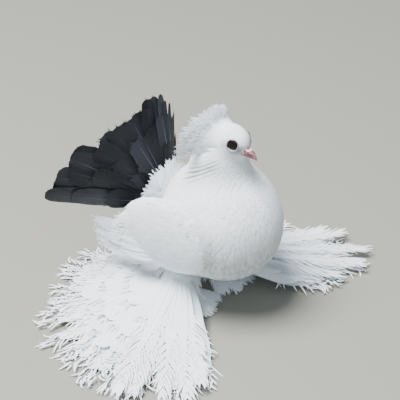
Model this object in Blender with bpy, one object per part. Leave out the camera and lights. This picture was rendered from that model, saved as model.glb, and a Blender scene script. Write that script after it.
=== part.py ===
# A standing fantail pigeon with a shell crest, a raised fan tail and large feathered feet.
# The bird faces -Y with its right side to -X and stands on the plane z = 0.
# Sizes below are millimetres in the bird's own terms (forward, right, up); bird() turns them to the frame.

import math
import random

import bmesh
import bpy
import numpy as np

MM = 0.001

# Flesh: centres are (forward, right, up), radii are half axes along the same directions
BREAST_CENTRE, BREAST_RADII = (0.0, 0.0, 88.0), (56.0, 50.0, 56.0)
RUMP_CENTRE, RUMP_RADII = (-24.0, 0.0, 77.0), (30.0, 32.0, 27.0)
NECK_CENTRE, NECK_RADII = (-3.0, 0.0, 146.0), (26.0, 23.0, 32.0)
HEAD_CENTRE, HEAD_RADII = (10.4, 0.0, 172.3), (17.5, 13.0, 15.0)
HEAD_YAW = math.radians(5.0)
THIGH_CENTRE, THIGH_RADII = (-20.0, 24.0, 54.0), (18.0, 14.0, 20.0)
BODY_BLEND = 14.0
HEAD_BLEND = 9.0
NECK_BASE = 137.0
HEAD_BASE = 159.0
GAP = 0.3

# Middle of the whole bird's outline, feathers included, seen from above: the frame's origin
FRAME_AT = np.array((-12.3, 30.9, 0.0))

# Eye and bill, in the head's own terms (ahead, right, up) from the head's centre
EYE_AT = (10.2, 8.6, 4.0)
EYE_RADIUS, EYE_SINK = 5.0, 3.1
LID_RING, LID_THICK = 4.7, 0.85
GAPE_AT, BILL_TIP = (12.0, 0.0, -3.6), (29.6, 0.0, -6.4)
LOWER_TIP_BACK = 1.6
BILL_HALF_WIDTH, BILL_HOOK = 4.4, 1.5
BILL_DEPTH_UPPER, BILL_DEPTH_LOWER = 4.6, 3.0
CERE_AT, CERE_RADII = (18.2, 2.1, -0.4), (3.6, 2.3, 2.0)
NOSTRIL_AT, NOSTRIL_RADII = (21.2, 2.9, -2.0), (2.0, 1.0, 0.5)
GROOVE_RIGHT, GROOVE_RADII = 5.2, (3.4, 2.2, 0.5)

# Crest, in the head's own terms
CREST_COUNT, CREST_WIDTH, CREST_THICK, CREST_SEED = 21, 6.4, 0.6, 11
CREST_HALF_ARC = math.radians(112.0)
CREST_MIDDLE, CREST_LEAN = (-5.0, 0.0, 1.0), -0.45
CREST_BAND_RADIUS, CREST_BAND_OUT = 2.0, 0.4
CREST_OPEN_TOP, CREST_OPEN_SIDE = math.radians(60.0), math.radians(45.0)
CREST_LENGTH_TOP, CREST_LENGTH_SIDE, CREST_LEFT_SHARE = 20.0, 30.0, 0.75
CREST_CURL = 30.0
CREST_OPEN_LEFT, CREST_LEFT_BY = math.radians(30.0), math.radians(45.0)

# Tail: a half cone of feathers that opens backwards from the root block
VANE_THICK, VANE_CLEAR, LEAST_APART, LAYERS_WIDE = 0.8, 0.45, 0.6, 2.8
VANE_STATIONS = (0.0, 0.36, 0.76, 0.94)
TAIL_ROOT, TAIL_BLOCK_AT, TAIL_BLOCK_RADII = (-55.0, 0.0, 81.0), (-59.0, 0.0, 82.0), (14.0, 17.0, 11.0)
TAIL_COUNT, TAIL_WIDTH, TAIL_START, TAIL_SEED = 23, 27.0, 6.0, 7
TAIL_RAISE, TAIL_OPEN, TAIL_HALF_FAN = math.radians(15.0), math.radians(45.0), math.radians(91.0)
TAIL_TURNED = math.radians(5.0)
TAIL_REACH = ((-88, 100), (-62, 104), (-40, 106), (-18, 94), (0, 86), (18, 90), (34, 92), (46, 90),
              (58, 112), (68, 104), (80, 112), (96, 122))
TAIL_SAG = 3.0
COVERT_ROOT, COVERT_COUNT, COVERT_LENGTH, COVERT_WIDTH = (-49.0, 0.0, 82.0), 13, 42.0, 17.0
COVERT_RAISE, COVERT_OPEN, COVERT_HALF_FAN = math.radians(15.0), math.radians(66.0), math.radians(74.0)
COVERT_SIDE_LESS = 0.14
VENT_ROOT, VENT_COUNT, VENT_LENGTH, VENT_WIDTH = (-44.0, 0.0, 76.0), 7, 42.0, 16.0
VENT_DROP, VENT_OPEN, VENT_HALF_FAN = math.radians(12.0), math.radians(30.0), math.radians(70.0)
BAND_RADIUS, BAND_OUT = 2.6, 0.6

# Wings: places of the first and last feather of a row, each a root and a tip on the right side
WING_CENTRE, WING_RADII = (-20.0, 44.5, 84.0), (44.0, 12.5, 36.0)
WING_PITCH = math.radians(12.0)
PRIMARY_COUNT, SECONDARY_COUNT, SHIELD_COUNT = 6, 6, 6
PRIMARY_ROW = (((-42.0, 42.5, 66.0), (-116.0, 41.0, 56.0)), ((-38.0, 42.5, 54.0), (-106.0, 41.0, 32.0)))
SECONDARY_ROW = (((-36.0, 46.0, 90.0), (-88.0, 45.2, 65.0)), ((-34.0, 46.0, 62.0), (-98.0, 45.2, 49.0)))
SHIELD_ROW = (((-38.0, 53.0, 97.0), (-76.0, 52.5, 79.0)), ((-32.0, 53.0, 60.0), (-74.0, 52.5, 49.0)))
FLIGHT_WIDTH, SHIELD_WIDTH = 15.0, 14.0

# Legs and feet, for the right side
FOOT_AT = (-25.0, 25.0, 0.0)
HOCK_AT = (-31.0, 25.0, 40.0)
SHANK_RADIUS = 4.6
ANKLE_UP = 9.0
TOE_RADIUS = 3.3
TOE_LENGTHS = {"inner": 25.0, "middle": 32.0, "outer": 26.0, "hind": 16.0}
TOE_ANGLES = {"inner": 28.0, "middle": 0.0, "outer": -30.0, "hind": 170.0}
CLAW_LENGTH = 7.0
MUFF_COUNT, MUFF_WIDTH, MUFF_SEED = 17, 24.0, 31
MUFF_ANGLES = {1: (-88.0, 52.0), -1: (-82.0, 68.0)}
MUFF_REACH = {1: ((-90, 106), (-75, 114), (-60, 121), (-45, 126), (-28, 134), (-10, 145), (5, 155),
                  (15, 158), (30, 156), (44, 148), (52, 128)),
              -1: ((-82, 110), (-60, 122), (0, 126), (26, 134), (38, 152), (52, 138), (68, 118))}
MUFF_ROOT_UP, MUFF_TIP_UP, MUFF_START, MUFF_ARCH = 28.0, 3.2, 2.0, 15.0
TOE_FEATHER_COUNT, TOE_FEATHER_LENGTH, TOE_FEATHER_WIDTH = 9, 92.0, 18.0
TOE_ROOT_UP, TOE_TIP_UP, TOE_ARCH = 7.3, 2.6, 3.0

COLOURS = {
    "white": (0.86, 0.88, 0.88),
    "charcoal": (0.030, 0.032, 0.038),
    "bill": (0.78, 0.52, 0.50),
    "eye": (0.012, 0.010, 0.010),
    "toe": (0.62, 0.30, 0.28),
}


def bird(forward, right, up):
    """Frame position, in millimetres, of a place in the bird's own terms."""
    return np.stack(np.broadcast_arrays(-np.asarray(right, float), -np.asarray(forward, float),
                                        np.asarray(up, float)), axis=-1)


def unit(vector):
    return vector / np.linalg.norm(vector)


def head_place(ahead, right, up):
    """Frame position of a place given from the head's centre along its own turned axes."""
    c, s = math.cos(HEAD_YAW), math.sin(HEAD_YAW)
    forward = HEAD_CENTRE[0] + ahead * c - right * s
    side = HEAD_CENTRE[1] + ahead * s + right * c
    return bird(forward, side, HEAD_CENTRE[2] + up)


def head_direction(ahead, right, up):
    return unit(head_place(ahead, right, up) - head_place(0, 0, 0))


# Flesh

def ellipsoid_field(points, centre, radii, yaw=0.0):
    """Near distance from an ellipsoid, negative inside it."""
    offset = points - bird(*centre)
    ahead, right, up = -offset[..., 1], -offset[..., 0], offset[..., 2]
    c, s = math.cos(yaw), math.sin(yaw)
    local = np.stack([ahead * c + right * s, right * c - ahead * s, up], axis=-1)
    radii = np.asarray(radii)
    near = np.linalg.norm(local / radii, axis=-1)
    slope = np.linalg.norm(local / radii ** 2, axis=-1)
    return near * (near - 1.0) / np.maximum(slope, 1e-6)


def smooth_min(a, b, reach):
    """The lower of two fields, rounded over the given reach where they are close."""
    h = np.clip(0.5 + 0.5 * (b - a) / reach, 0.0, 1.0)
    return b + (a - b) * h - reach * h * (1.0 - h)


def flesh_field(points):
    body = ellipsoid_field(points, BREAST_CENTRE, BREAST_RADII)
    body = smooth_min(body, ellipsoid_field(points, RUMP_CENTRE, RUMP_RADII), BODY_BLEND)
    for side in (1, -1):
        centre = (THIGH_CENTRE[0], THIGH_CENTRE[1] * side, THIGH_CENTRE[2])
        body = smooth_min(body, ellipsoid_field(points, centre, THIGH_RADII), BODY_BLEND)
    body = smooth_min(body, ellipsoid_field(points, NECK_CENTRE, NECK_RADII), BODY_BLEND)
    head = ellipsoid_field(points, HEAD_CENTRE, HEAD_RADII, HEAD_YAW)
    return smooth_min(body, head, HEAD_BLEND)


def first_exit(origins, directions, level, reach=120.0, samples=240):
    """Distance along each ray at which the flesh field first rises past the level."""
    steps = np.linspace(0.0, reach, samples)
    points = origins[..., None, :] + directions[..., None, :] * steps[:, None]
    outside = flesh_field(points) > level
    index = np.maximum(np.argmax(outside, axis=-1), 1)
    low, high = steps[index - 1], steps[index]
    for _ in range(14):
        middle = 0.5 * (low + high)
        out = flesh_field(origins + directions * middle[..., None]) > level
        low, high = np.where(out, low, middle), np.where(out, middle, high)
    return 0.5 * (low + high)


def on_flesh(origin, direction, level=0.0):
    direction = unit(direction)
    return origin + direction * first_exit(origin, direction, level)


def spine(up):
    """Forward place of the upright axis that every ring of the flesh is measured from."""
    return np.interp(up, (30.0, 110.0, 145.0, 168.0, 190.0), (-12.0, -8.0, -2.0, 7.0, 9.0))


def flesh_rings(heights, turns, level):
    """Rings of the flesh at the given heights, each point where its level ray leaves the field."""
    angles = np.arange(turns) * 2 * math.pi / turns
    up, angle = np.meshgrid(heights, angles, indexing="ij")
    origins = bird(spine(up), 0.0, up)
    directions = bird(np.cos(angle), np.sin(angle), 0.0)
    reach = first_exit(origins, directions, level)
    return origins + directions * reach[..., None]


def flesh_ends(level):
    """Heights at which the flesh starts and ends on its axis."""
    ends = []
    for way in (-1.0, 1.0):
        start = bird(spine(100.0 if way < 0 else 165.0), 0.0, 100.0 if way < 0 else 165.0)
        ends.append(on_flesh(start, bird(0.0, 0.0, way), level)[2])
    return ends


TURNS = 28
BODY_ROWS = [1 - math.cos(math.pi * k / 2 / 7) for k in range(1, 8)]


def row_heights(level=0.0):
    """Heights of the rings: closer together at the poles, and the same for every shell of the flesh."""
    low, high = flesh_ends(level)
    belly = [low + (90.0 - low) * b for b in BODY_ROWS]
    chest = list(np.linspace(99.0, NECK_BASE, 6))
    neck = list(np.linspace(NECK_BASE + GAP, HEAD_BASE - GAP, 5))
    jaw = [HEAD_BASE, 161.5, 164.0, 167.5, 171.5]
    crown = [171.5 + (high - 171.5) * math.sin(math.pi * k / 2 / 6) for k in range(1, 6)]
    return low, belly + chest + neck + jaw + crown, high


def flesh_solid(name, level, bottom, top, material):
    """One closed piece of the flesh between two heights, with flat ends where it is cut short."""
    low, heights, high = row_heights(level)
    inside = [h for h in heights if bottom - 1e-6 <= h <= top + 1e-6]
    rings = flesh_rings(np.array(inside), TURNS, level)
    first = bird(spine(inside[0]), 0.0, low if bottom < low else inside[0])
    last = bird(spine(inside[-1]), 0.0, high if top > high else inside[-1])
    return loft(name, list(rings), material, first, last)


# Meshes

def material(name, colour, roughness=0.8):
    found = bpy.data.materials.get(name) or bpy.data.materials.new(name)
    found.use_nodes = True
    shader = found.node_tree.nodes["Principled BSDF"]
    shader.inputs["Base Color"].default_value = (*COLOURS[colour], 1.0)
    shader.inputs["Roughness"].default_value = roughness
    shader.inputs["Metallic"].default_value = 0.0
    found.diffuse_color = (*COLOURS[colour], 1.0)
    return found


def mesh_object(name, points, faces, surface):
    mesh = bpy.data.meshes.new(name)
    mesh.from_pydata([tuple(p) for p in (np.asarray(points) - FRAME_AT) * MM], [], faces)
    shape = bmesh.new()
    shape.from_mesh(mesh)
    bmesh.ops.recalc_face_normals(shape, faces=shape.faces)
    shape.to_mesh(mesh)
    shape.free()
    made = bpy.data.objects.new(name, mesh)
    bpy.context.scene.collection.objects.link(made)
    if surface:
        mesh.materials.append(surface)
    return made


def strip(ring, following, turns, mirrored):
    """Triangles between two rings. The far half of a vane's ring is split the other way,
    so that both faces of the vane carry the same diagonals."""
    faces = []
    for k in range(turns):
        a, b = ring + k, ring + (k + 1) % turns
        c, d = following + (k + 1) % turns, following + k
        if mirrored and turns // 2 <= k < turns - 1:
            faces += [(a, b, d), (b, c, d)]
        else:
            faces += [(a, b, c), (a, c, d)]
    return faces


def loft(name, rings, surface, first=None, last=None, mirrored=False):
    """Closed skin through rings of equal size. Each end closes on a given point, or flat."""
    turns = len(rings[0])
    points = [p for ring in rings for p in ring]
    faces = []
    for row in range(len(rings) - 1):
        faces += strip(row * turns, (row + 1) * turns, turns, mirrored)
    for ring, tip, way in ((0, first, -1), ((len(rings) - 1) * turns, last, 1)):
        if tip is None:
            order = [ring + k for k in range(turns)]
            faces += [tuple((order[0], order[k], order[k + 1])[::way]) for k in range(1, turns - 1)]
        else:
            points.append(tip)
            apex = len(points) - 1
            faces += [tuple((ring + k, ring + (k + 1) % turns, apex)[::way]) for k in range(turns)]
    return mesh_object(name, points, faces, surface)


def ellipsoid(name, centre, radii, surface, turn=None, rows=8, turns=14):
    """Closed ellipsoid whose half axes follow the bird's forward, right and up, or a given turn."""
    axes = np.array([bird(1, 0, 0), bird(0, 1, 0), bird(0, 0, 1)]) if turn is None else turn
    rings = []
    for row in range(1, rows):
        lift = math.pi * row / rows - math.pi / 2
        angle = np.arange(turns) * 2 * math.pi / turns
        local = np.stack([np.cos(angle) * math.cos(lift), np.sin(angle) * math.cos(lift),
                          np.full(turns, math.sin(lift))], axis=-1)
        rings.append(centre + (local * np.asarray(radii)) @ axes)
    pole = radii[2] * axes[2]
    return loft(name, rings, surface, centre - pole, centre + pole)


def box(name, centre, half, axes):
    """Closed box about a centre with the given half sizes along three unit axes."""
    corners = [(-1, -1), (1, -1), (1, 1), (-1, 1)]
    rings = [[centre + axes[0] * half[0] * x + axes[1] * half[1] * y + axes[2] * half[2] * z
              for x, y in corners] for z in (-1, 1)]
    return loft(name, rings, None)


def vane(feather):
    """One feather as a thin blade: a narrow shaft at its root, widest past the middle and
    rounded at the tip. It lies in one of three layers, and its middle is raised so that it
    follows the round of its fan, so neighbours pass over one another without touching."""
    root, along, face = feather["root"], unit(feather["along"]), feather["face"]
    face = unit(face - along * np.dot(face, along))
    side = np.cross(face, along)
    thick = feather.get("thick", VANE_THICK)

    def shaft(t):
        run = feather["length"] * t
        arch = feather.get("sag", 0.0) * (run / 100.0) ** 2
        return (root + along * run + side * feather.get("sweep", 0.0) * t * t
                + face * (arch + feather["layer"] * (thick + VANE_CLEAR)))

    rings = []
    for t in VANE_STATIONS:
        spot = shaft(t)
        apart = feather["apart"][0] * (1.0 - t) + feather["apart"][1] * t
        half = 0.5 * min(feather["width"] * feather_width(t, feather.get("tip", 0.42)), LAYERS_WIDE * apart)
        drop = face * 0.5 * feather.get("round", 0.0) * half ** 2 / apart
        edges = [spot - side * half - drop, spot + side * half - drop]
        if "round" in feather:
            edges.insert(1, spot)
        rise = face * 0.5 * thick * (1.0 - 0.4 * t)
        rings.append([edge + rise for edge in edges] + [edge - rise for edge in reversed(edges)])
    return loft("vane", rings, None, last=shaft(1.0), mirrored=True)


def feather_width(t, tip):
    """Share of the full width at t along a feather: shaft, swell, then the rounded end."""
    swell = 0.16 + 0.84 * math.sin(min(t / 0.55, 1.0) * math.pi / 2) ** 1.5
    end = 1.0 if t < 0.75 else 1.0 - (1.0 - tip) * ((t - 0.75) / 0.25) ** 2
    return swell * end


def fan(feathers):
    return [vane(feather) for feather in feathers]


def tube(name, places, radii, reference, turns=10):
    """Closed round limb through places in the frame; the reference direction is never its run."""
    places = np.asarray(places, float)
    angle = np.arange(turns)[:, None] * 2 * math.pi / turns
    rings = []
    for k, (place, radius) in enumerate(zip(places, radii)):
        run = unit(places[min(k + 1, len(places) - 1)] - places[max(k - 1, 0)])
        side = unit(np.cross(run, reference))
        over = np.cross(side, run)
        rings.append(list(place + (side * np.cos(angle) + over * np.sin(angle)) * radius))
    return loft(name, rings, None)


def root_band(feathers, radius, turns=5):
    """The ridge of skin that a row of feathers grows from: a tube through every second root."""
    places = [feather["root"] for feather in feathers[::2]]
    normal = np.cross(places[1] - places[0], places[-1] - places[0])
    return tube("band", places, [radius] * len(places), unit(normal), turns)


# Joining and cutting

def evaluated(made):
    """Replace an object's mesh by the one that its modifiers give, and clear them."""
    graph = bpy.context.evaluated_depsgraph_get()
    mesh = bpy.data.meshes.new_from_object(made.evaluated_get(graph))
    made.modifiers.clear()
    made.data = mesh
    return made


def combine(made, others, operation):
    """One Boolean of an object with a group of others, which are then removed."""
    group = bpy.data.collections.new("operands")
    bpy.context.scene.collection.children.link(group)
    for other in others:
        bpy.context.scene.collection.objects.unlink(other)
        group.objects.link(other)
    step = made.modifiers.new("combine", "BOOLEAN")
    step.operation = operation
    step.solver = "MANIFOLD"  # EXACT gives nothing where plates cross themselves near a root
    step.operand_type = "COLLECTION"
    step.collection = group
    bpy.context.view_layer.update()
    evaluated(made)
    for other in others:
        bpy.data.objects.remove(other)
    bpy.data.collections.remove(group)
    return made


def islands(shape):
    """Groups of faces that are joined by edges."""
    left, groups = set(shape.faces), []
    while left:
        front = [left.pop()]
        group = list(front)
        while front:
            face = front.pop()
            near = {f for e in face.edges for f in e.link_faces} & left
            left -= near
            front += near
            group += near
        groups.append(group)
    return groups


def keep_largest(made):
    """Keep the closed surface that holds most, and split its faces into triangles."""
    shape = bmesh.new()
    shape.from_mesh(made.data)
    bmesh.ops.triangulate(shape, faces=shape.faces)
    groups = islands(shape)

    def held(group):
        return abs(sum(f.verts[0].co.dot(f.verts[1].co.cross(f.verts[2].co)) for f in group))

    largest = max(groups, key=held)
    drop = [f for group in groups if group is not largest for f in group]
    bmesh.ops.delete(shape, geom=drop, context="FACES")
    bmesh.ops.dissolve_degenerate(shape, dist=2e-6, edges=shape.edges)
    bmesh.ops.triangulate(shape, faces=shape.faces)
    shape.to_mesh(made.data)
    shape.free()
    return made


def node(name, pieces, cutters, surface):
    """Fuse the pieces of one node, cut it clear of its neighbours and keep its one body."""
    made = pieces[0]
    if len(pieces) > 1:
        combine(made, pieces[1:], "UNION")
    if cutters:
        combine(made, cutters, "DIFFERENCE")
    keep_largest(made)
    made.name = name
    made.data.name = name
    made.data.materials.clear()
    made.data.materials.append(surface)
    return made


def flesh_cutter(level):
    """The whole flesh, standing out by the given level, for cutting its neighbours clear."""
    return flesh_solid("cutter", level, -1.0, 1000.0, None)


# Body and head

def make_flesh():
    white = material("white_coat", "white")
    keep_largest(flesh_solid("torso", 0.0, -1.0, NECK_BASE, white))
    keep_largest(flesh_solid("neck", 0.0, NECK_BASE + GAP, HEAD_BASE - GAP, white))


def head_axes():
    return np.array([head_direction(1, 0, 0), head_direction(0, 1, 0), head_direction(0, 0, 1)])


def head_ball(name, place, radii, grow=0.0, rows=6, turns=8):
    """Ellipsoid placed from the head's centre and turned with the head."""
    return ellipsoid(name, head_place(*place), np.asarray(radii) + grow, None, head_axes(), rows, turns)


def eye_place(side):
    """The eye lies where the ray from the skull's middle through its place meets the skin."""
    ahead, right, up = EYE_AT
    middle = head_place(ahead * 0.6, 0, up)
    aim = unit(head_place(ahead, right * side, up) - middle)
    return on_flesh(middle, aim), aim


def eyeball(side, grow=0.0):
    """Ball that shows as a cap about as wide as the lid ring's opening."""
    skin, aim = eye_place(side)
    return ellipsoid("eye", skin - aim * EYE_SINK, np.full(3, EYE_RADIUS + grow), None, head_axes(), 8, 14)


def lid_ring(side, turns=14, section=5):
    """Closed torus round the eye, half sunk in the skin."""
    centre, axis = eye_place(side)
    across = unit(np.cross(axis, (0.0, 0.0, 1.0)))
    over = np.cross(axis, across)
    points, faces = [], []
    for k in range(turns):
        angle = 2 * math.pi * k / turns
        out = across * math.cos(angle) + over * math.sin(angle)
        for j in range(section):
            bend = 2 * math.pi * j / section
            reach = LID_RING + LID_THICK * math.cos(bend)
            points.append(centre + out * reach + axis * (LID_THICK * math.sin(bend) - 0.4))
        faces += [tuple(corner % (turns * section) for corner in face)
                  for face in strip(k * section, (k + 1) * section, section, False)]
    return mesh_object("ring", points, faces, None)


def mouth_line(ahead):
    """Height of the line between the halves of the bill: straight from the gape, then hooked down."""
    share = (ahead - GAPE_AT[0]) / (BILL_TIP[0] - GAPE_AT[0])
    return GAPE_AT[2] + (BILL_TIP[2] - GAPE_AT[2]) * share - BILL_HOOK * max(share - 0.7, 0.0) ** 2 / 0.09


def mandible(way, grow=0.0, stations=6):
    """Half of the bill, above (way 1) or below the line of the mouth: D sections that taper
    from the gape to the tip, the upper one longer."""
    depth = BILL_DEPTH_UPPER if way > 0 else BILL_DEPTH_LOWER
    end = BILL_TIP[0] + grow - (0.0 if way > 0 else LOWER_TIP_BACK)
    rings = []
    for t in np.linspace(0.0, 1.0, stations):
        ahead = GAPE_AT[0] - grow + (end - GAPE_AT[0] + grow) * t
        half = BILL_HALF_WIDTH * (1.0 - 0.86 * t ** 0.9) + grow
        high = depth * (1.0 - 0.80 * t ** 1.3) + 2.0 * grow
        base = mouth_line(ahead) + way * (GAP * 0.5 - grow)
        angles = np.linspace(0.0, math.pi, 6)
        rings.append([head_place(ahead, half * math.cos(a), base + way * high * math.sin(a)) for a in angles])
    return loft("mandible", rings, None)


def ceres(grow=0.0):
    ahead, right, up = CERE_AT
    return [head_ball("cere", (ahead, right * side, up), CERE_RADII, grow) for side in (1, -1)]


def make_bill():
    bill = material("bill", "bill", 0.45)
    ahead, right, up = NOSTRIL_AT
    holes = [head_ball("nostril", (ahead, right * side, up), NOSTRIL_RADII, 0.0, 6, 8) for side in (1, -1)]
    node("bill_upper", [mandible(1)] + ceres(), holes, bill)
    node("bill_lower", [mandible(-1)], [], bill)


def make_head():
    """Skull with lid rings, the groove of the gape, and a socket for each eye and for the bill."""
    head = flesh_solid("skull", 0.0, HEAD_BASE, 1000.0, None)
    rings = [lid_ring(side) for side in (1, -1)]
    grooves = [head_ball("groove", (GAPE_AT[0] + 1.5, GROOVE_RIGHT * side, GAPE_AT[2]), GROOVE_RADII)
               for side in (1, -1)]
    sockets = [eyeball(side, GAP) for side in (1, -1)]
    mouth = [mandible(1, GAP), mandible(-1, GAP)] + ceres(GAP)
    node("head", [head] + rings, sockets + mouth + grooves, material("white_coat", "white"))


def make_eyes():
    for side, name in ((1, "eye_right"), (-1, "eye_left")):
        node(name, [eyeball(side)], [], material("eye", "eye", 0.1))


# Fans of feathers

def cone_direction(raise_by, open_by, turn):
    """Direction on a cone that opens backwards: its axis raised, its half angle, and the turn
    about it from the top (0) towards the bird's right. Gives the direction and its upper face."""
    axis = bird(-math.cos(raise_by), 0.0, math.sin(raise_by))
    top = bird(math.sin(raise_by), 0.0, math.cos(raise_by))
    out = top * math.cos(turn) + bird(0.0, 1.0, 0.0) * math.sin(turn)
    along = axis * math.cos(open_by) + out * math.sin(open_by)
    return along, out * math.cos(open_by) - axis * math.sin(open_by)


def reach_at(table, turn):
    """Reach of a feather at a turn in degrees, between the (turn, reach) pairs of a table."""
    return float(np.interp(turn, [pair[0] for pair in table], [pair[1] for pair in table]))


def fan_turns(count, half):
    return [half * (2.0 * k / (count - 1) - 1.0) for k in range(count)]


def apart(step, start, end):
    """Distances between neighbours of a fan where its feathers start and end."""
    return max(step * start, LEAST_APART), step * end


def tail_feathers():
    chance = random.Random(TAIL_SEED)
    step = 2 * TAIL_HALF_FAN / (TAIL_COUNT - 1)
    feathers = []
    for k, turn in enumerate(fan_turns(TAIL_COUNT, TAIL_HALF_FAN)):
        turn += TAIL_TURNED
        along, face = cone_direction(TAIL_RAISE, TAIL_OPEN, turn)
        length = reach_at(TAIL_REACH, math.degrees(turn)) * chance.uniform(0.97, 1.02)
        feathers.append({"root": bird(*TAIL_ROOT) + along * TAIL_START, "along": along, "face": face,
                         "length": length - TAIL_START, "width": TAIL_WIDTH, "sag": -TAIL_SAG,
                         "apart": apart(step * math.sin(TAIL_OPEN), TAIL_START, length), "layer": k % 3 - 1,
                         "round": step * math.cos(TAIL_OPEN), "tip": 0.5})
    return feathers


def tail_block(grow=0.0):
    """The cushion behind the rump that every tail feather grows from."""
    return ellipsoid("block", bird(*TAIL_BLOCK_AT), np.array(TAIL_BLOCK_RADII) + grow, None, None, 6, 12)


def make_tail():
    pieces = [tail_block()] + fan(tail_feathers())
    node("tail", pieces, [flesh_cutter(GAP)], material("tail", "charcoal"))


def covert_feathers():
    """White lobes round the top and sides of the tail's root."""
    step = 2 * COVERT_HALF_FAN / (COVERT_COUNT - 1) * math.sin(COVERT_OPEN)
    feathers = []
    for k, turn in enumerate(fan_turns(COVERT_COUNT, COVERT_HALF_FAN)):
        along, face = cone_direction(COVERT_RAISE, COVERT_OPEN, turn)
        root = on_flesh(bird(*COVERT_ROOT), along, BAND_OUT)
        start = np.linalg.norm(root - bird(*COVERT_ROOT))
        reach = COVERT_LENGTH * (1.0 - COVERT_SIDE_LESS * math.sin(turn) ** 2)
        feathers.append({"root": root, "along": along, "face": face, "width": COVERT_WIDTH, "sag": -6.0,
                         "length": reach - start, "apart": apart(step, start, reach), "layer": k % 3 - 1,
                         "tip": 0.6})
    return feathers


def vent_feathers():
    """White feathers under the tail's root, nearly level."""
    step = 2 * VENT_HALF_FAN / (VENT_COUNT - 1) * math.sin(VENT_OPEN)
    feathers = []
    for k, turn in enumerate(fan_turns(VENT_COUNT, VENT_HALF_FAN)):
        along, face = cone_direction(-VENT_DROP, VENT_OPEN, math.pi + turn)
        root = on_flesh(bird(*VENT_ROOT), along, BAND_OUT)
        start = np.linalg.norm(root - bird(*VENT_ROOT))
        feathers.append({"root": root, "along": along, "face": face, "width": VENT_WIDTH,
                         "length": VENT_LENGTH, "apart": apart(step, start, start + VENT_LENGTH),
                         "layer": k % 3 - 1, "tip": 0.6})
    return feathers


def make_covert_fans():
    """The coverts over and under the tail each grow from a ridge across the rump."""
    for name, feathers in (("tail_coverts", covert_feathers()), ("vent_feathers", vent_feathers())):
        pieces = [root_band(feathers, BAND_RADIUS)] + fan(feathers)
        node(name, pieces, [flesh_cutter(GAP), tail_block(GAP)], material("white_coat", "white"))


# Crest

def crest_feathers():
    """The shell crest runs from ear to ear round the back of the skull: longest beside the nape
    on the right, shorter on the left, its tips leaning out and back."""
    chance = random.Random(CREST_SEED)
    step = 2 * CREST_HALF_ARC / (CREST_COUNT - 1)
    feathers = []
    for k, turn in enumerate(fan_turns(CREST_COUNT, CREST_HALF_ARC)):
        opened = CREST_OPEN_SIDE + (CREST_OPEN_TOP - CREST_OPEN_SIDE) * max(math.cos(turn), 0.0) ** 2
        opened += (CREST_OPEN_LEFT - opened) * min(max(-turn / CREST_LEFT_BY, 0.0), 1.0)
        out = np.array((0.0, math.sin(turn), math.cos(turn)))
        along = head_direction(-math.cos(opened), *(out[1:] * math.sin(opened)))
        face = head_direction(math.sin(opened), *(out[1:] * math.cos(opened)))
        middle = head_place(*CREST_MIDDLE)
        root = on_flesh(middle, head_direction(CREST_LEAN, out[1], out[2]), CREST_BAND_OUT)
        start = np.linalg.norm(root - middle)
        length = CREST_LENGTH_TOP + (CREST_LENGTH_SIDE - CREST_LENGTH_TOP) * math.sin(abs(turn)) ** 2
        length *= (1.0 if turn > 0 else CREST_LEFT_SHARE) * chance.uniform(0.9, 1.06)
        feathers.append({"root": root, "along": along, "face": face, "length": length, "thick": CREST_THICK,
                         "width": CREST_WIDTH, "sag": CREST_CURL, "tip": 0.3, "layer": k % 3 - 1,
                         "apart": (step * start, step * (start + length * math.sin(opened)))})
    return feathers


def make_crest():
    feathers = crest_feathers()
    pieces = [root_band(feathers, CREST_BAND_RADIUS)] + fan(feathers)
    node("crest", pieces, [flesh_cutter(GAP)], material("white_coat", "white"))


# Wings

def row_of_feathers(side, count, first, last, width, **more):
    """Feathers from a first (root, tip) pair to a last one, evenly spaced, faces outwards."""
    feathers = []
    ends = [np.linalg.norm(np.subtract(last[end], first[end])) / (count - 1) for end in (0, 1)]
    for k in range(count):
        share = k / (count - 1)
        root = bird(*(np.array(first[0]) * (1 - share) + np.array(last[0]) * share) * (1, side, 1))
        tip = bird(*(np.array(first[1]) * (1 - share) + np.array(last[1]) * share) * (1, side, 1))
        feathers.append({"root": root, "along": tip - root, "length": float(np.linalg.norm(tip - root)),
                         "face": bird(0, side, 0), "width": width, "apart": ends, "layer": k % 3 - 1, **more})
    return feathers


def make_wing(side, name):
    """The shield over the flank, with its long coverts and the closed stack of flight feathers."""
    pitch = np.array([bird(math.cos(WING_PITCH), 0, math.sin(WING_PITCH)), bird(0, side, 0),
                      bird(-math.sin(WING_PITCH), 0, math.cos(WING_PITCH))])
    forward, right, up = WING_CENTRE
    shield = ellipsoid("shield", bird(forward, right * side, up), WING_RADII, None, pitch, 8, 14)
    primaries = row_of_feathers(side, PRIMARY_COUNT, *PRIMARY_ROW, FLIGHT_WIDTH)
    secondaries = row_of_feathers(side, SECONDARY_COUNT, *SECONDARY_ROW, FLIGHT_WIDTH)
    coverts = row_of_feathers(side, SHIELD_COUNT, *SHIELD_ROW, SHIELD_WIDTH, sag=-15.0, tip=0.6)
    vanes = fan(primaries) + fan(secondaries) + fan(coverts)
    node(name, [shield] + vanes, [flesh_cutter(GAP)], material("white_coat", "white"))


# Legs and feet

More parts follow.
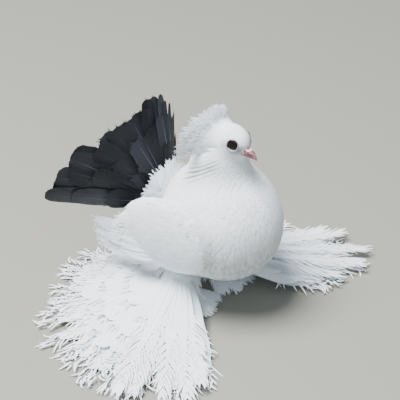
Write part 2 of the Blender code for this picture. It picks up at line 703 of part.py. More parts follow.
def muff_feathers(side, angles, root, root_up, tip_up, arch, lengths, width, seed):
    """Feathers that fan out round a foot, arching down to lie just over the floor."""
    chance = random.Random(seed)
    step = abs(angles[1] - angles[0])
    feathers = []
    for k, (angle, length) in enumerate(zip(angles, lengths)):
        out = bird(math.sin(angle), math.cos(angle) * side, 0.0)
        reach = length * chance.uniform(0.97, 1.02)
        start = bird(root[0], root[1] * side, root_up) + out * MUFF_START
        drop = root_up - tip_up + arch
        along = out * (reach - MUFF_START) - bird(0, 0, drop)
        run = float(np.linalg.norm(along))
        feathers.append({"root": start, "along": along, "length": run, "face": bird(0, 0, 1),
                         "width": width, "sag": arch / (run / 100.0) ** 2, "tip": 0.45, "layer": k % 3 - 1,
                         "apart": apart(step, MUFF_START, reach), "sweep": chance.uniform(-4.0, 4.0)})
    return feathers


def make_leg(side, name):
    """Feathered shank from the thigh to the ankle, with the long feathers of the muff."""
    forward, right, up = HOCK_AT
    foot_forward, foot_right, _ = FOOT_AT
    places = [bird(forward + 4, right * side, up + 14), bird(forward, right * side, up),
              bird(forward + 2, right * side, up * 0.6),
              bird(foot_forward, foot_right * side, ANKLE_UP - 1.0)]
    shank = tube("shank", places, [9.0, 7.5, 5.8, SHANK_RADIUS], bird(0, 1, 0))
    angles = np.linspace(*MUFF_ANGLES[side], MUFF_COUNT)
    lengths = [reach_at(MUFF_REACH[side], angle) for angle in angles]
    feathers = muff_feathers(side, np.radians(angles), (forward + 2, right), MUFF_ROOT_UP, MUFF_TIP_UP,
                             MUFF_ARCH, lengths, MUFF_WIDTH, MUFF_SEED + side)
    below = box("below", bird(foot_forward, foot_right * side, ANKLE_UP + GAP - 6.0), (8.0, 8.0, 6.0),
                np.eye(3))
    node(name, [shank] + fan(feathers), [flesh_cutter(GAP), below], material("white_coat", "white"))


def toe(side, angle, length):
    """One toe, lowest at its tip, and its claw, which curves down to just above the floor."""
    turn = math.radians(angle)
    out = bird(math.cos(turn), -math.sin(turn) * side, 0.0)
    start = bird(FOOT_AT[0], FOOT_AT[1] * side, 0.0)
    reach = [0.0, 0.35 * length, 0.7 * length, length]
    rise = [TOE_RADIUS + 1.6, TOE_RADIUS + 0.2, TOE_RADIUS - 0.5, TOE_RADIUS - 1.0]
    places = [start + out * r + bird(0, 0, u) for r, u in zip(reach, rise)]
    pad = tube("toe", places, [TOE_RADIUS, TOE_RADIUS, TOE_RADIUS * 0.92, TOE_RADIUS * 0.7], bird(0, 0, 1), 8)
    hook = [(-1.0, 2.7, 1.5), (0.4 * CLAW_LENGTH, 2.9, 1.1), (CLAW_LENGTH, 0.9, 0.3)]
    line = [start + out * (length + r) + bird(0, 0, u) for r, u, _ in hook]
    claw = tube("claw", line, [radius for _, _, radius in hook], bird(0, 0, 1), 6)
    return [pad, claw]


def make_foot(side, name):
    """Toes with flat soles on the floor, and the shorter feathers that grow from them."""
    forward, right, _ = FOOT_AT
    centre = bird(forward, right * side, 0.0)
    ankle = tube("ankle", [centre + bird(0, 0, 2.0), centre + bird(0, 0, ANKLE_UP)], [SHANK_RADIUS] * 2,
                 bird(1, 0, 0))
    palm = ellipsoid("palm", centre + bird(0, 0, 3.9), (7.5, 6.5, 4.7), None, None, 6, 10)
    toes = [piece for key in TOE_LENGTHS for piece in toe(side, TOE_ANGLES[key], TOE_LENGTHS[key])]
    low, high = MUFF_ANGLES[side]
    angles = np.radians(np.linspace(low + 16, high + 4, TOE_FEATHER_COUNT))
    feathers = muff_feathers(side, angles, (forward, right), TOE_ROOT_UP, TOE_TIP_UP, TOE_ARCH,
                             [TOE_FEATHER_LENGTH] * TOE_FEATHER_COUNT, TOE_FEATHER_WIDTH,
                             MUFF_SEED + 5 * side)
    floor = box("floor", centre - bird(0, 0, 20.0), (200, 200, 20.0), np.eye(3))
    node(name, [palm, ankle] + toes + fan(feathers), [floor], material("foot", "toe"))


def clear_scene():
    for old in list(bpy.data.objects):
        bpy.data.objects.remove(old)


def main():
    clear_scene()
    make_flesh()
    make_head()
    make_eyes()
    make_bill()
    make_crest()
    make_tail()
    make_covert_fans()
    for side, word in ((1, "right"), (-1, "left")):
        make_wing(side, "wing_" + word)
        make_leg(side, "leg_" + word)
        make_foot(side, "foot_" + word)


main()
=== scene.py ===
import math

import bpy
import numpy as np
from mathutils import Matrix


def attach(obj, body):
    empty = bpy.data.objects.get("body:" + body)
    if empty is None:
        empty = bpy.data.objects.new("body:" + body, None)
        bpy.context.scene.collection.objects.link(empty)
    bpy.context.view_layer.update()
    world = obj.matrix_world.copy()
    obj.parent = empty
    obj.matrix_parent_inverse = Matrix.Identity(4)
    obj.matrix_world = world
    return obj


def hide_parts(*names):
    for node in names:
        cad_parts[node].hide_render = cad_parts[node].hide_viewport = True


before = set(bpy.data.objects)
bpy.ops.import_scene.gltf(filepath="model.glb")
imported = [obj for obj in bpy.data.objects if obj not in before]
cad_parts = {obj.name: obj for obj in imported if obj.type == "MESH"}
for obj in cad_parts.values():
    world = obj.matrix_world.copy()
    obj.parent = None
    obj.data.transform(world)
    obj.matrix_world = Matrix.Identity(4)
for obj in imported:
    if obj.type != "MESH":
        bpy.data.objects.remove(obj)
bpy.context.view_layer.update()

mm = 0.001
frameAt = (-12.3, 30.9)  # the frame's origin in the bird's own left and back
unseen = 1e-9
upward = np.array((0, 0, 1))
sides = ((1, "right"), (-1, "left"))


# Camera, floor and light

stage = {
    "azimuth": math.radians(-50), "elevation": math.radians(35), "distance": 1300 * mm,
    "target": (0, 0, 88), "targetPixel": (222, 218),
    "pixels": 400, "focal": 1495, "sensor": 36,  # focal length in pixels of the 400 wide picture
    "floorHalf": 3, "floorColour": "#87857B", "skyColour": "#D3E2F0", "skyStrength": 0.62,
    "lampAim": (0, 0, 0.08),
    "sun": {"size": 1, "energy": 125, "at": (-0.55, 0.25, 1.8), "colour": "#FBFCFF"},
    "fill": {"size": 1.4, "energy": 12, "at": (-1.3, -1.3, 1.2), "colour": "#EAF2FA"},
}


def hexColour(text):
    # sRGB hex to linear light: below 0.04045 divided by 12.92, above it ((c + 0.055) / 1.055) ^ 2.4
    srgb = [int(text[k:k + 2], 16) / 255 for k in (1, 3, 5)]
    return tuple(c / 12.92 if c <= 0.04045 else ((c + 0.055) / 1.055) ** 2.4 for c in srgb) + (1,)


def unit(vectors):
    return vectors / np.maximum(np.linalg.norm(vectors, axis=-1, keepdims=True), unseen)


def times(vectors, amounts):
    # Each vector times its amounts, which may have axes of their own after the vectors'
    shape = np.shape(vectors)
    extra = np.ndim(amounts) + 1 - len(shape)
    return np.reshape(vectors, shape[:-1] + (1,) * extra + (3,)) * np.asarray(amounts)[..., None]


def toFrame(points):
    # x is minus right, y is minus forward and z is up, moved to the frame's origin
    forward, right, up = np.moveaxis(np.asarray(points, float), -1, 0)
    return np.stack([-right - frameAt[0], -forward - frameAt[1], up], -1) * mm


def addNode(tree, kind, inputs=None, out=0, **settings):
    # One node, and its output: an input given as a socket is linked, any other is set
    node = tree.nodes.new("ShaderNode" + kind)
    for key, value in settings.items():
        setattr(node, key, value)
    for key, value in (inputs or {}).items():
        if isinstance(value, bpy.types.NodeSocket):
            tree.links.new(value, node.inputs[key])
        else:
            node.inputs[key].default_value = value
    return node.outputs[out]


def addMath(tree, operation, *values, **settings):
    return addNode(tree, "Math", dict(enumerate(values)), operation=operation, **settings)


def addMix(tree, share, first, second):
    return addNode(tree, "Mix", {0: share, 6: first, 7: second}, 2, data_type="RGBA")


def addRange(tree, value, low, high, toLow=0, toHigh=1):
    return addNode(tree, "MapRange", {"Value": value, "From Min": low, "From Max": high,
                                      "To Min": toLow, "To Max": toHigh})


def addBump(tree, surface, height, strength, depth):
    bump = addNode(tree, "Bump", {"Strength": strength, "Distance": depth * mm, "Height": height})
    tree.links.new(bump, surface.inputs["Normal"])


def attribute(tree, name):
    return addNode(tree, "Attribute", out="Fac", attribute_name=name)


def objectPlace(tree):
    return addNode(tree, "TexCoord", out="Object")


def newMaterial(name, colour, **shader):
    material = bpy.data.materials.new(name)
    material.use_nodes = True
    surface = material.node_tree.nodes["Principled BSDF"]
    for key, value in {"Base Color": hexColour(colour), **shader}.items():
        surface.inputs[key].default_value = value
    material.diffuse_color = hexColour(colour)
    return material, material.node_tree, surface


def addObject(name, data, axes=None):
    # The axes are the columns of the object's matrix: three directions and a place
    item = bpy.data.objects.new(name, data)
    if axes:
        item.matrix_world = Matrix([(*row,) for row in np.stack(axes, 1)] + [(0, 0, 0, 1)])
    bpy.context.scene.collection.objects.link(item)
    return item


def makeCamera():
    azimuth, elevation, far = stage["azimuth"], stage["elevation"], stage["distance"]
    back = np.array((math.sin(azimuth) * math.cos(elevation), -math.cos(azimuth) * math.cos(elevation),
                     math.sin(elevation)))
    right = np.array((math.cos(azimuth), math.sin(azimuth), 0))
    up = np.cross(back, right)
    slideX, slideY = ((pixel - stage["pixels"] / 2) / stage["focal"] * far
                      for pixel in stage["targetPixel"])
    data = bpy.data.cameras.new("camera")
    data.sensor_width = stage["sensor"]
    data.lens = stage["sensor"] * stage["focal"] / stage["pixels"]
    data.clip_start, data.clip_end = 0.05, 20
    place = toFrame(stage["target"]) + back * far - right * slideX + up * slideY
    bpy.context.scene.camera = addObject("camera", data, (right, up, back, place))


def makeLight(name):
    lamp = stage[name]
    data = bpy.data.lights.new(name, "AREA")
    data.shape, data.size, data.energy = "DISK", lamp["size"], lamp["energy"]
    data.color = hexColour(lamp["colour"])[:3]
    away = unit(np.array(lamp["at"]) - stage["lampAim"])
    side = unit(np.cross(upward, away))
    addObject(name, data, (side, np.cross(away, side), away, lamp["at"]))


def makeStage():
    makeCamera()
    makeLight("sun")
    makeLight("fill")
    world = bpy.data.worlds.new("sky")
    bpy.context.scene.world = world
    world.use_nodes = True
    sky = world.node_tree.nodes["Background"].inputs
    sky["Color"].default_value = hexColour(stage["skyColour"])
    sky["Strength"].default_value = stage["skyStrength"]
    half = stage["floorHalf"]
    mesh = bpy.data.meshes.new("floor")
    mesh.from_pydata([(-half, -half, 0), (half, -half, 0), (half, half, 0), (-half, half, 0)], [],
                     [(0, 1, 2, 3)])
    # Matt painted board: pale, with a mottle a few centimetres across
    material, tree, surface = newMaterial("mattPaintedBoard", stage["floorColour"], Roughness=0.9)
    mottle = addNode(tree, "TexNoise", {"Scale": 25, "Detail": 3, "Vector": objectPlace(tree)})
    addBump(tree, surface, mottle, 0.1, 0.5)
    mesh.materials.append(material)
    addObject("floor", mesh)
    print("stage set")


# Meshes

def putMesh(name, points, faceSets, material, attributes=None, bakeMap=None, sharp=None, replaces=(),
            slot=None):
    # One object from vertex places, arrays of faces of equal size, and values per vertex
    mesh = bpy.data.meshes.new(name)
    places = toFrame(points).reshape(-1, 3)
    faceSets = [np.asarray(faces)[:, ::-1] for faces in faceSets]  # the turn to the frame mirrors
    corners = np.concatenate([faces.ravel() for faces in faceSets]).astype(np.int32)
    totals = np.concatenate([np.full(len(faces), faces.shape[1], np.int32) for faces in faceSets])
    mesh.vertices.add(len(places))
    mesh.vertices.foreach_set("co", places.astype(np.float32).ravel())
    mesh.loops.add(len(corners))
    mesh.loops.foreach_set("vertex_index", corners)
    mesh.polygons.add(len(totals))
    mesh.polygons.foreach_set("loop_start", (np.cumsum(totals) - totals).astype(np.int32))
    mesh.polygons.foreach_set("use_smooth", np.ones(len(totals), bool))
    mesh.update(calc_edges=True)
    for key, values in (attributes or {}).items():
        layer = mesh.attributes.new(key, "FLOAT", "POINT")
        layer.data.foreach_set("value", np.asarray(values, np.float32).ravel())
    if bakeMap is not None:
        layer = mesh.uv_layers.new(name="OFBake")
        layer.data.foreach_set("uv", np.asarray(bakeMap, np.float32).reshape(-1, 2)[corners].ravel())
    if sharp is not None:
        mesh.set_sharp_from_angle(angle=math.radians(sharp))
    mesh.materials.append(material)
    piece = addObject(name, mesh)
    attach(piece, "root")
    if replaces:
        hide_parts(*replaces)
    print(name, "has", int((totals - 2).sum()), "triangles")


def repeatFaces(faces, count, size):
    # The faces of one item, repeated for each item, whose vertices follow one another
    copies = np.asarray(faces)[None] + np.arange(count)[:, None, None] * size
    return copies.reshape(-1, copies.shape[-1])


def loftFaces(rows, ring):
    # Quads between the rows of a closed ring: corner k of a row meets corners k and k + 1 of the next
    row, corner = np.meshgrid(np.arange(rows - 1), np.arange(ring), indexing="ij")
    a, b = row * ring + corner, row * ring + (corner + 1) % ring
    return np.stack([a, b, b + ring, a + ring], -1).reshape(-1, 4)


def foldCap(start, ring, flip):
    # Quads across a flat ring of even size, from its upper half to its lower half
    k = start + np.arange(ring // 2 - 1)
    far = 2 * start + ring - 1 - k
    return np.stack([k, far, far - 1, k + 1], -1)[:, ::-1 if flip else 1]


def fanCap(start, ring, apex, flip):
    k = np.arange(ring)
    return np.stack([start + k, start + (k + 1) % ring, np.full(ring, apex)], -1)[:, ::-1 if flip else 1]


def closedGrid(rows, ring):
    # Loft of rings that closes on a point at each end: the two points follow the rings
    tris = np.concatenate([fanCap(0, ring, rows * ring, True),
                           fanCap((rows - 1) * ring, ring, rows * ring + 1, False)])
    return [loftFaces(rows, ring), tris]


def around(count):
    return np.arange(count) * math.tau / count


def ballPoints(centre, radii, axes, rows, turns):
    # Ellipsoid as rings from pole to pole along the last axis, then the two poles
    lift = (np.arange(1, rows + 1) / (rows + 1) - 0.5) * math.pi
    lift, angle = np.meshgrid(lift, around(turns), indexing="ij")
    local = np.stack([np.cos(angle) * np.cos(lift), np.sin(angle) * np.cos(lift), np.sin(lift)], -1)
    local = np.concatenate([local.reshape(-1, 3), [-upward, upward]])
    return centre + (local * radii) @ axes


def tube(middle, radii, ring, flat=None):
    # Rings about a run of middles, upright to its course, with a point at each end
    along = unit(np.gradient(middle, axis=0))
    side = unit(np.cross(along, np.where(np.abs(along[:, 2:]) > 0.9, (1, 0, 0), upward)))
    bend = around(ring)
    points = (middle[:, None] + times(side, np.outer(radii, np.cos(bend)))
              + times(np.cross(side, along), np.outer(radii, np.sin(bend))))
    ends = middle[[0, -1]] + along[[0, -1]] * np.outer(radii[[0, -1]], 0.3) * [[-1], [1]]
    points = np.concatenate([points.reshape(-1, 3), ends])
    if flat is not None:
        points[:, 2] = np.maximum(points[:, 2], flat)
    return points, closedGrid(len(middle), ring)


def joined(parts):
    # Several closed surfaces as one list of points and face sets
    points, groups, offset = [], {}, 0
    for place, faceSets in parts:
        points.append(place)
        for faces in faceSets:
            groups.setdefault(faces.shape[1], []).append(faces + offset)
        offset += len(place)
    return np.concatenate(points), [np.concatenate(group) for group in groups.values()]


# The form of the flesh, a field of near distances that is negative inside

flesh = {
    # Ellipsoids: centre and radii
    "breast": ((0, 0, 88), (56, 50, 56)), "rump": ((-24, 0, 77), (30, 32, 27)),
    "neck": ((-3, 0, 146), (26, 23, 32)), "thigh": ((-20, 24, 54), (18, 14, 20)),
    "head": ((10.4, 0, 172.3), (17.5, 13, 15)), "wing": ((-20, 44.5, 84), (44, 12.5, 36)),
    "headYaw": math.radians(5), "wingPitch": math.radians(12), "billRoot": (24, 0, 168),
    "bodyBlend": 14, "headBlend": 9, "wingBlend": 7,
    # Folds of the neck: pitch, depth, height of their band and its half height, slope, and where
    # they fade out, as pairs of forward places and one of right places
    "foldPitch": 3.6, "foldDepth": 0.22, "foldUp": 149.5, "foldSpan": 6.5, "foldSlope": -0.66,
    "foldBack": (-30, -12), "foldFront": (15, 3), "foldMiddle": (7, 16),
}


def turned(first, second, angle):
    c, s = math.cos(angle), math.sin(angle)
    return first * c + second * s, second * c - first * s


def ellipsoidField(points, form, yaw=0, pitch=0):
    # With q the place over the radii: |q| (|q| - 1) / |q / radii|
    centre, radii = form
    ahead, right, up = np.moveaxis(points - np.array(centre), -1, 0)
    ahead, right = turned(ahead, right, yaw)
    ahead, up = turned(ahead, up, pitch)
    q = [v / r for v, r in zip((ahead, right, up), radii)]
    near = np.sqrt(sum(v ** 2 for v in q))
    slope = np.sqrt(sum((v / r) ** 2 for v, r in zip(q, radii)))
    return near * (near - 1) / np.maximum(slope, 1e-6)


def smoothMin(a, b, reach):
    # The lower of two fields, rounded over the reach where they are close
    h = np.clip(0.5 + 0.5 * (b - a) / reach, 0, 1)
    return b + (a - b) * h - reach * h * (1 - h)


def mirrored(key, side):
    centre, radii = flesh[key]
    return np.array(centre) * (1, side, 1), radii


def smoothStep(low, high, value):
    share = np.clip((value - low) / (high - low), 0, 1)
    return share * share * (3 - 2 * share)


def foldsAt(points):
    # Folds of plumage round the bent neck: a wave across a band that slopes down and back
    forward, right, up = np.moveaxis(points, -1, 0)
    across = up + flesh["foldSlope"] * forward + 0.8 * np.sin(right * 0.25)
    span = (np.exp(-((across - flesh["foldUp"]) / flesh["foldSpan"]) ** 2)
            * smoothStep(*flesh["foldMiddle"], np.abs(right))
            * smoothStep(*flesh["foldBack"], forward) * smoothStep(*flesh["foldFront"], forward))
    return span, across * math.tau / flesh["foldPitch"]


def fleshField(points):
    body = ellipsoidField(points, flesh["breast"])
    for key, side in (("rump", 1), ("thigh", 1), ("thigh", -1), ("neck", 1)):
        body = smoothMin(body, ellipsoidField(points, mirrored(key, side)), flesh["bodyBlend"])
    head = ellipsoidField(points, flesh["head"], flesh["headYaw"])
    span, phase = foldsAt(points)
    return smoothMin(body, head, flesh["headBlend"]) + flesh["foldDepth"] * span * np.sin(phase)


def wingField(points, side):
    return ellipsoidField(points, mirrored("wing", side), pitch=flesh["wingPitch"])


def wingsField(points):
    return np.minimum(wingField(points, 1), wingField(points, -1))


def wholeField(points, drawnOut=1):
    # Flesh and wings. A wing may be drawn out behind: places there are read nearer to its middle.
    whole = fleshField(points)
    c, s = math.cos(flesh["wingPitch"]), math.sin(flesh["wingPitch"])
    for side in (1, -1):
        local = points - mirrored("wing", side)[0]
        short = np.minimum(local[..., 0] * c + local[..., 2] * s, 0) * (drawnOut - 1)
        whole = smoothMin(whole, wingField(points + times((c, 0, s), short), side), flesh["wingBlend"])
    return whole


def covertField(points):
    # The last coverts run on past the end of the wing
    return wholeField(points, wing["drawnOut"])


def normalOf(field, points, step=0.2):
    # The field's slope by differences along the three axes
    return unit(np.stack([field(points + axis) - field(points - axis) for axis in np.eye(3) * step], -1))


def leave(field, origins, directions, level, rounds=40):
    # Distance along each ray at which the field reaches the level, from inside, by steps of its value
    origins, directions = np.broadcast_arrays(origins, directions)
    reach = np.zeros(origins.shape[:-1])
    for _ in range(rounds):
        reach = np.maximum(reach + 0.8 * (level - field(origins + times(directions, reach))), 0)
    return reach


def settle(points, along, field, level, rounds=3, most=1.6):
    # Points moved along a direction, by no more than most a round, until the field has the level there
    for _ in range(rounds):
        points = points + times(along, np.clip(level - field(points), -most, most))
    return points


def headPlace(ahead, right, up):
    # Places from the head's centre along its own turned axes
    ahead, right, up = np.broadcast_arrays(*(np.asarray(v, float) for v in (ahead, right, up)))
    ahead, right = turned(ahead, right, -flesh["headYaw"])
    return np.stack([ahead, right, up], -1) + flesh["head"][0]


def headAim(ahead, right, up):
    return unit(headPlace(ahead, right, up) - headPlace(0, 0, 0))


# Skin: horizontal rays leave the flesh from an upright axis, one ring to each height

skin = {
    "rows": 200, "turns": 180, "depth": 1.7, "headDepth": 0.7, "headFrom": (150, 165),
    "axisUp": (30, 110, 145, 168, 190), "axisForward": (-12, -8, -2, 7, 9),
    "mapFrom": 0.02, "mapWide": 0.95, "mapTall": 215,
}


def axisAt(up):
    return np.interp(up, skin["axisUp"], skin["axisForward"])


def fleshRings(rows, turns, deep):
    # Rings at heights spaced by a cosine between the axis's ends in the flesh. A place is the axis at
    # its height plus the ray's reach along its angle, to a share of the skin's depth. Then the ends.
    up = np.linspace(20, 200, 3601)
    field = fleshField(np.stack([axisAt(up), 0 * up, up], -1))
    low, high = up[field < -deep * skin["depth"]][0], up[field < -deep * skin["headDepth"]][-1]
    heights = low + (high - low) * (0.5 - 0.5 * np.cos(np.linspace(0, math.pi, rows + 2)[1:-1]))
    up, angle = np.meshgrid(heights, around(turns), indexing="ij")
    origins = np.stack([axisAt(up), 0 * up, up], -1)
    directions = np.stack([np.cos(angle), np.sin(angle), 0 * up], -1)
    depth = -skin["depth"] + (skin["depth"] - skin["headDepth"]) * smoothStep(*skin["headFrom"], up)
    rings = origins + times(directions, leave(fleshField, origins, directions, deep * depth))
    return rings, [[axisAt(low), 0, low], [axisAt(high), 0, high]]


def bodyMap(points):
    # Unwrap of the body: the angle round the axis and the height, over the unit square
    angle = np.arctan2(points[..., 1], points[..., 0] - axisAt(points[..., 2]))
    return np.stack([skin["mapFrom"] + skin["mapWide"] * (angle / math.tau + 0.5),
                     skin["mapFrom"] + points[..., 2] / skin["mapTall"]], -1)


def makeSkin(material):
    rings, poles = fleshRings(skin["rows"], skin["turns"], 1)
    points = np.concatenate([rings.reshape(-1, 3), poles])
    putMesh("skin", points, closedGrid(skin["rows"], skin["turns"]), material, bakeMap=bodyMap(points),
            slot="white_coat", replaces=("torso", "neck", "head"))


# Contour feathers: small vanes that lie on the flesh

coat = {
    # Height up the bird, then the length, width, tip lift and turn (degrees) of its feathers there
    "at": (30, 50, 75, 100, 137, 150, 160, 168, 190),
    "length": (18, 19, 18, 15, 11, 7.5, 5, 3.6, 3.2),
    "width": (5, 5.2, 6, 6, 5.2, 4.4, 3.2, 2.3, 2.2),
    "lift": (2, 1.9, 1, 0.45, 0.45, 0.6, 0.4, 0.22, 0.2),
    "turn": (13, 12, 8, 6, 6, 7, 7, 6, 6),
    # Names of the pieces and the heights they cover
    "bands": {"coat_head": (156, 300), "coat_neck": (132, 156), "coat_breast": (78, 132),
              "coat_belly": (-1, 78)},
    "rings": (160, 90), "rowShare": 0.24, "acrossShare": 0.6, "seed": 5, "underWing": -2.5,
    "stations": (0, 0.18, 0.42, 0.68, 0.87), "profile": (0.22, 0.66, 1, 0.93, 0.6),
    "camber": 0.22, "thick": 0.34, "rootSink": 0.5, "under": 0.2, "strayMost": 1.5, "patch": 0.003,
    "backFrom": (40, -40),  # forward places between which the coat turns from down to back
    # Clear of feathers: round the eyes, and an ellipsoid about the bill in head terms
    "eyeOff": 5.5, "eyeClear": 5.2, "billClear": ((19, 0, -3.5), (6, 5.5, 4.2)),
    # Painted shade: grey lines in the folds, grey along the wing's edge, the low body darker between two
    # heights (painted shade with a real stain), and grey spots of shade round the eyes, each with its place
    # (ahead, up), size and share
    "creaseShade": 1.25, "wingEdgeShade": 0.26, "lowShadeAndStain": 0.72, "lowShadeAndStainUp": (112, 62),
    "eyeShadeSpots": (((1.5, 2), (5, 3.4), 0.5), ((14.8, 0.5), (4.4, 3.8), 0.75), ((9, -3.5), (9, 4.2), 0.4)),
}


def smallFeathers(name, roots, normals, flow, size, field, material, bakeRoots, rng, tint):
    # A vane per root: t along the flow and s across it. Its places are root + flow t length
    # + side s width profile(t), then each is let down the normal to the level of the coat at t and s.
    # A tip is at the flesh's own level, so the roots start a coat's depth below it.
    length, width, lift = (v[:, None, None] for v in size)
    t = np.array(coat["stations"] + (1,))
    half = np.array(coat["profile"] + (0,)) * 0.5
    s, high = np.array((-1, 0, 1, 0)), np.array((0, 0.5, 0, -0.5)) * coat["thick"]
    grid = (roots[:, None, None] + times(flow, length * t[:, None])
            + times(np.cross(flow, normals), width * half[:, None] * s))
    level = (-lift - coat["under"] + lift * t[:, None] ** 1.4
             + (high - coat["camber"] * s ** 2) * np.clip(width / 6, 0.35, 1.2)
             + coat["rootSink"] * (np.minimum(t / 0.3, 1) - 1)[:, None])
    grid = settle(grid, normals, field, level)
    keep = np.abs(field(grid) - level).max(axis=(1, 2)) < coat["strayMost"]  # the rest found no level
    print(name, "leaves out", np.count_nonzero(~keep), "of", len(keep))
    grid, bakeRoots, length, width = (v[keep] for v in (grid, bakeRoots, length, width))
    count, rings = len(grid), len(t) - 1
    points = np.concatenate([grid[:, :rings].reshape(count, -1, 3), grid[:, rings, 1][:, None]], 1)
    shape = (count, rings * 4 + 1)
    quads = np.concatenate([loftFaces(rings, 4), [[0, 3, 2, 1]]])
    tris = fanCap((rings - 1) * 4, 4, rings * 4, False)
    along = np.append(np.repeat(t[:rings], 4), 1)
    across = np.append(np.tile(s, rings), 0)
    run = length[:, 0] * along - 0.4 * width[:, 0] * np.abs(across)
    lower = np.append(np.tile((0, 0, 0, 0.12), rings), 0)
    wide = across * np.append(np.repeat(half[:rings], 4), 0)
    patch = coat["patch"] * np.stack([wide, along - lower], -1)
    putMesh(name, points, [repeatFaces(quads, *shape), repeatFaces(tris, *shape)], material,
            {"barbRun": run, "tuft": np.broadcast_to(rng.random(count)[:, None], shape), **tint(points)},
            bakeRoots[:, None] + patch, sharp=50, slot="white_coat")


def ringRoots(rings, rowStep, acrossStep, rng):
    # Staggered roots: rows a step apart up a grid of rings, each row's places evenly along its ring
    gaps = np.linalg.norm(np.diff(rings, axis=0), axis=-1).max(axis=1)
    run = np.concatenate([[0], np.cumsum(gaps / rowStep(rings[:-1, 0, 2]))])
    roots = []
    for row in np.interp(np.arange(0.5, run[-1]), run, np.arange(len(run))):
        low = int(row)
        ring = rings[low] * (1 - row + low) + rings[min(low + 1, len(rings) - 1)] * (row - low)
        ring = np.concatenate([ring, ring[:1]])
        reach = np.concatenate([[0], np.cumsum(np.linalg.norm(np.diff(ring, axis=0), axis=-1))])
        count = max(int(reach[-1] / acrossStep(ring[0, 2])), 3)
        place = (np.arange(count) + rng.random() + rng.uniform(-0.28, 0.28, count)) / count * reach[-1]
        roots.append(np.stack([np.interp(place % reach[-1], reach, ring[:, k]) for k in range(3)], -1))
    return np.concatenate(roots)


def sizesAt(form, places, vary, rng):
    # Length, width and lift of the feathers at places along a form, each varied by a share
    return [np.interp(places, form["at"], form[key]) * rng.uniform(1 - vary, 1 + vary, len(places))
            for key in ("length", "width", "lift")]


def swung(flow, normals, degrees, rng):
    # Each direction turned about its normal by a chance angle
    angle = (np.radians(degrees) * rng.standard_normal(len(flow)))[:, None]
    return flow * np.cos(angle) + np.cross(flow, normals) * np.sin(angle)


def lieOf(points, normals, rng):
    # The coat runs away from the bill over the head, then down the breast and back along the body
    forward, right, up = points.T
    back = smoothStep(*coat["backFrom"], forward)
    low = smoothStep(80, 45, up)
    body = np.stack([-0.06 - 1.1 * back, 0.1 * np.sign(right) * back, -1 + 0.55 * back * low], -1)
    head = unit(points - np.array(flesh["billRoot"])) * 1.5
    share = smoothStep(140, 160, up)[:, None]
    flow = unit(body) * (1 - share) + head * share
    flow = unit(flow - normals * (flow * normals).sum(-1, keepdims=True))
    return swung(flow, normals, np.interp(up, coat["at"], coat["turn"]), rng)


def coatTint(points):
    # Painted shade: grey spots round each eye, each exp(-distance^2), grey along the wing's edge and grey
    # lines in the neck's folds; and the low body darker toward the floor, painted shade with a real stain
    ahead, right, up = np.moveaxis(points - np.array(flesh["head"][0]), -1, 0)
    ahead, right = turned(ahead, right, flesh["headYaw"])
    spots = sum(share * np.exp(-((ahead - atAhead) / wide) ** 2 - ((up - atUp) / tall) ** 2)
                for (atAhead, atUp), (wide, tall), share in coat["eyeShadeSpots"])
    # Painted shade along the wing's edge, where the wing meets the body
    edge = coat["wingEdgeShade"] * np.exp(-((wingsField(points) - 1) / 3) ** 2)
    span, phase = foldsAt(points)
    return {"tint": np.clip(spots * smoothStep(2, 6, np.abs(right)) + edge, 0, 1),
            # The low body darker toward the floor: painted shade, with a real stain in it
            "lowShadeAndStain": coat["lowShadeAndStain"] * smoothStep(*coat["lowShadeAndStainUp"], points[..., 2]),
            "foldSpan": coat["creaseShade"] * span, "foldPhase": phase}


def shortOfEyes(points, flow, length):
    # Feathers that run toward an eye end where they meet its ring, a sphere about its place
    for side in (1, -1):
        toward = eyePlace(side)[0] - points
        ahead = (toward * flow).sum(-1)
        inside = coat["eyeClear"] ** 2 - (toward ** 2).sum(-1) + ahead ** 2
        meet = np.maximum(ahead - np.sqrt(np.maximum(inside, 0)), 0.8)
        length = np.where((ahead > 0) & (inside > 0), np.minimum(length, meet), length)
    return length


def makeCoat(material):
    rng = np.random.default_rng(coat["seed"])

    def stepOf(key, part):
        return lambda up: np.interp(up, coat["at"], coat[key]) * coat[part]

    roots = ringRoots(fleshRings(*coat["rings"], 0)[0], stepOf("length", "rowShare"),
                      stepOf("width", "acrossShare"), rng)
    # Roots keep off the eye, its ring, the bill and the wings
    billAt, billSize = coat["billClear"]
    keep = np.linalg.norm((roots - headPlace(*billAt)) / billSize, axis=-1) > 1
    for side in (1, -1):
        keep &= np.linalg.norm(roots - eyePlace(side)[0], axis=-1) > coat["eyeOff"]
    roots = roots[keep & (wingsField(roots) > coat["underWing"])]
    for name, (bottom, top) in coat["bands"].items():
        here = roots[(roots[:, 2] >= bottom) & (roots[:, 2] < top)]
        normals = normalOf(wholeField, here)
        flow = lieOf(here, normals, rng)
        length, width, lift = sizesAt(coat, here[:, 2], 0.15, rng)
        smallFeathers(name, here, normals, flow, (shortOfEyes(here, flow, length), width, lift),
                      wholeField, material, bodyMap(here), rng, coatTint)


# Long feathers: a shaft along a cubic curve, a closed vane either side of it, and loose barbs

plainLook = {"shaft": 0, "shaftEnd": 0.97, "barbSteps": 5, "barbFrom": 0}
thinLayer = 1.2  # of feathers over the floor


def curveAt(controls, t):
    # Four controls weighted by (1-t)^3, 3t(1-t)^2, 3t^2(1-t) and t^3, and the curve's direction
    t = np.broadcast_to(t, (len(controls), np.shape(t)[-1]))[..., None]
    a, b, c, d = (controls[:, k, None] for k in range(4))
    place = a * (1 - t) ** 3 + 3 * b * t * (1 - t) ** 2 + 3 * c * t ** 2 * (1 - t) + d * t ** 3
    return place, unit((b - a) * (1 - t) ** 2 + 2 * (c - b) * t * (1 - t) + (d - c) * t ** 2)


def shaftFrames(controls, faces, t):
    place, along = curveAt(controls, t)
    side = unit(np.cross(along, faces[:, None]))
    return place, along, side, np.cross(side, along)


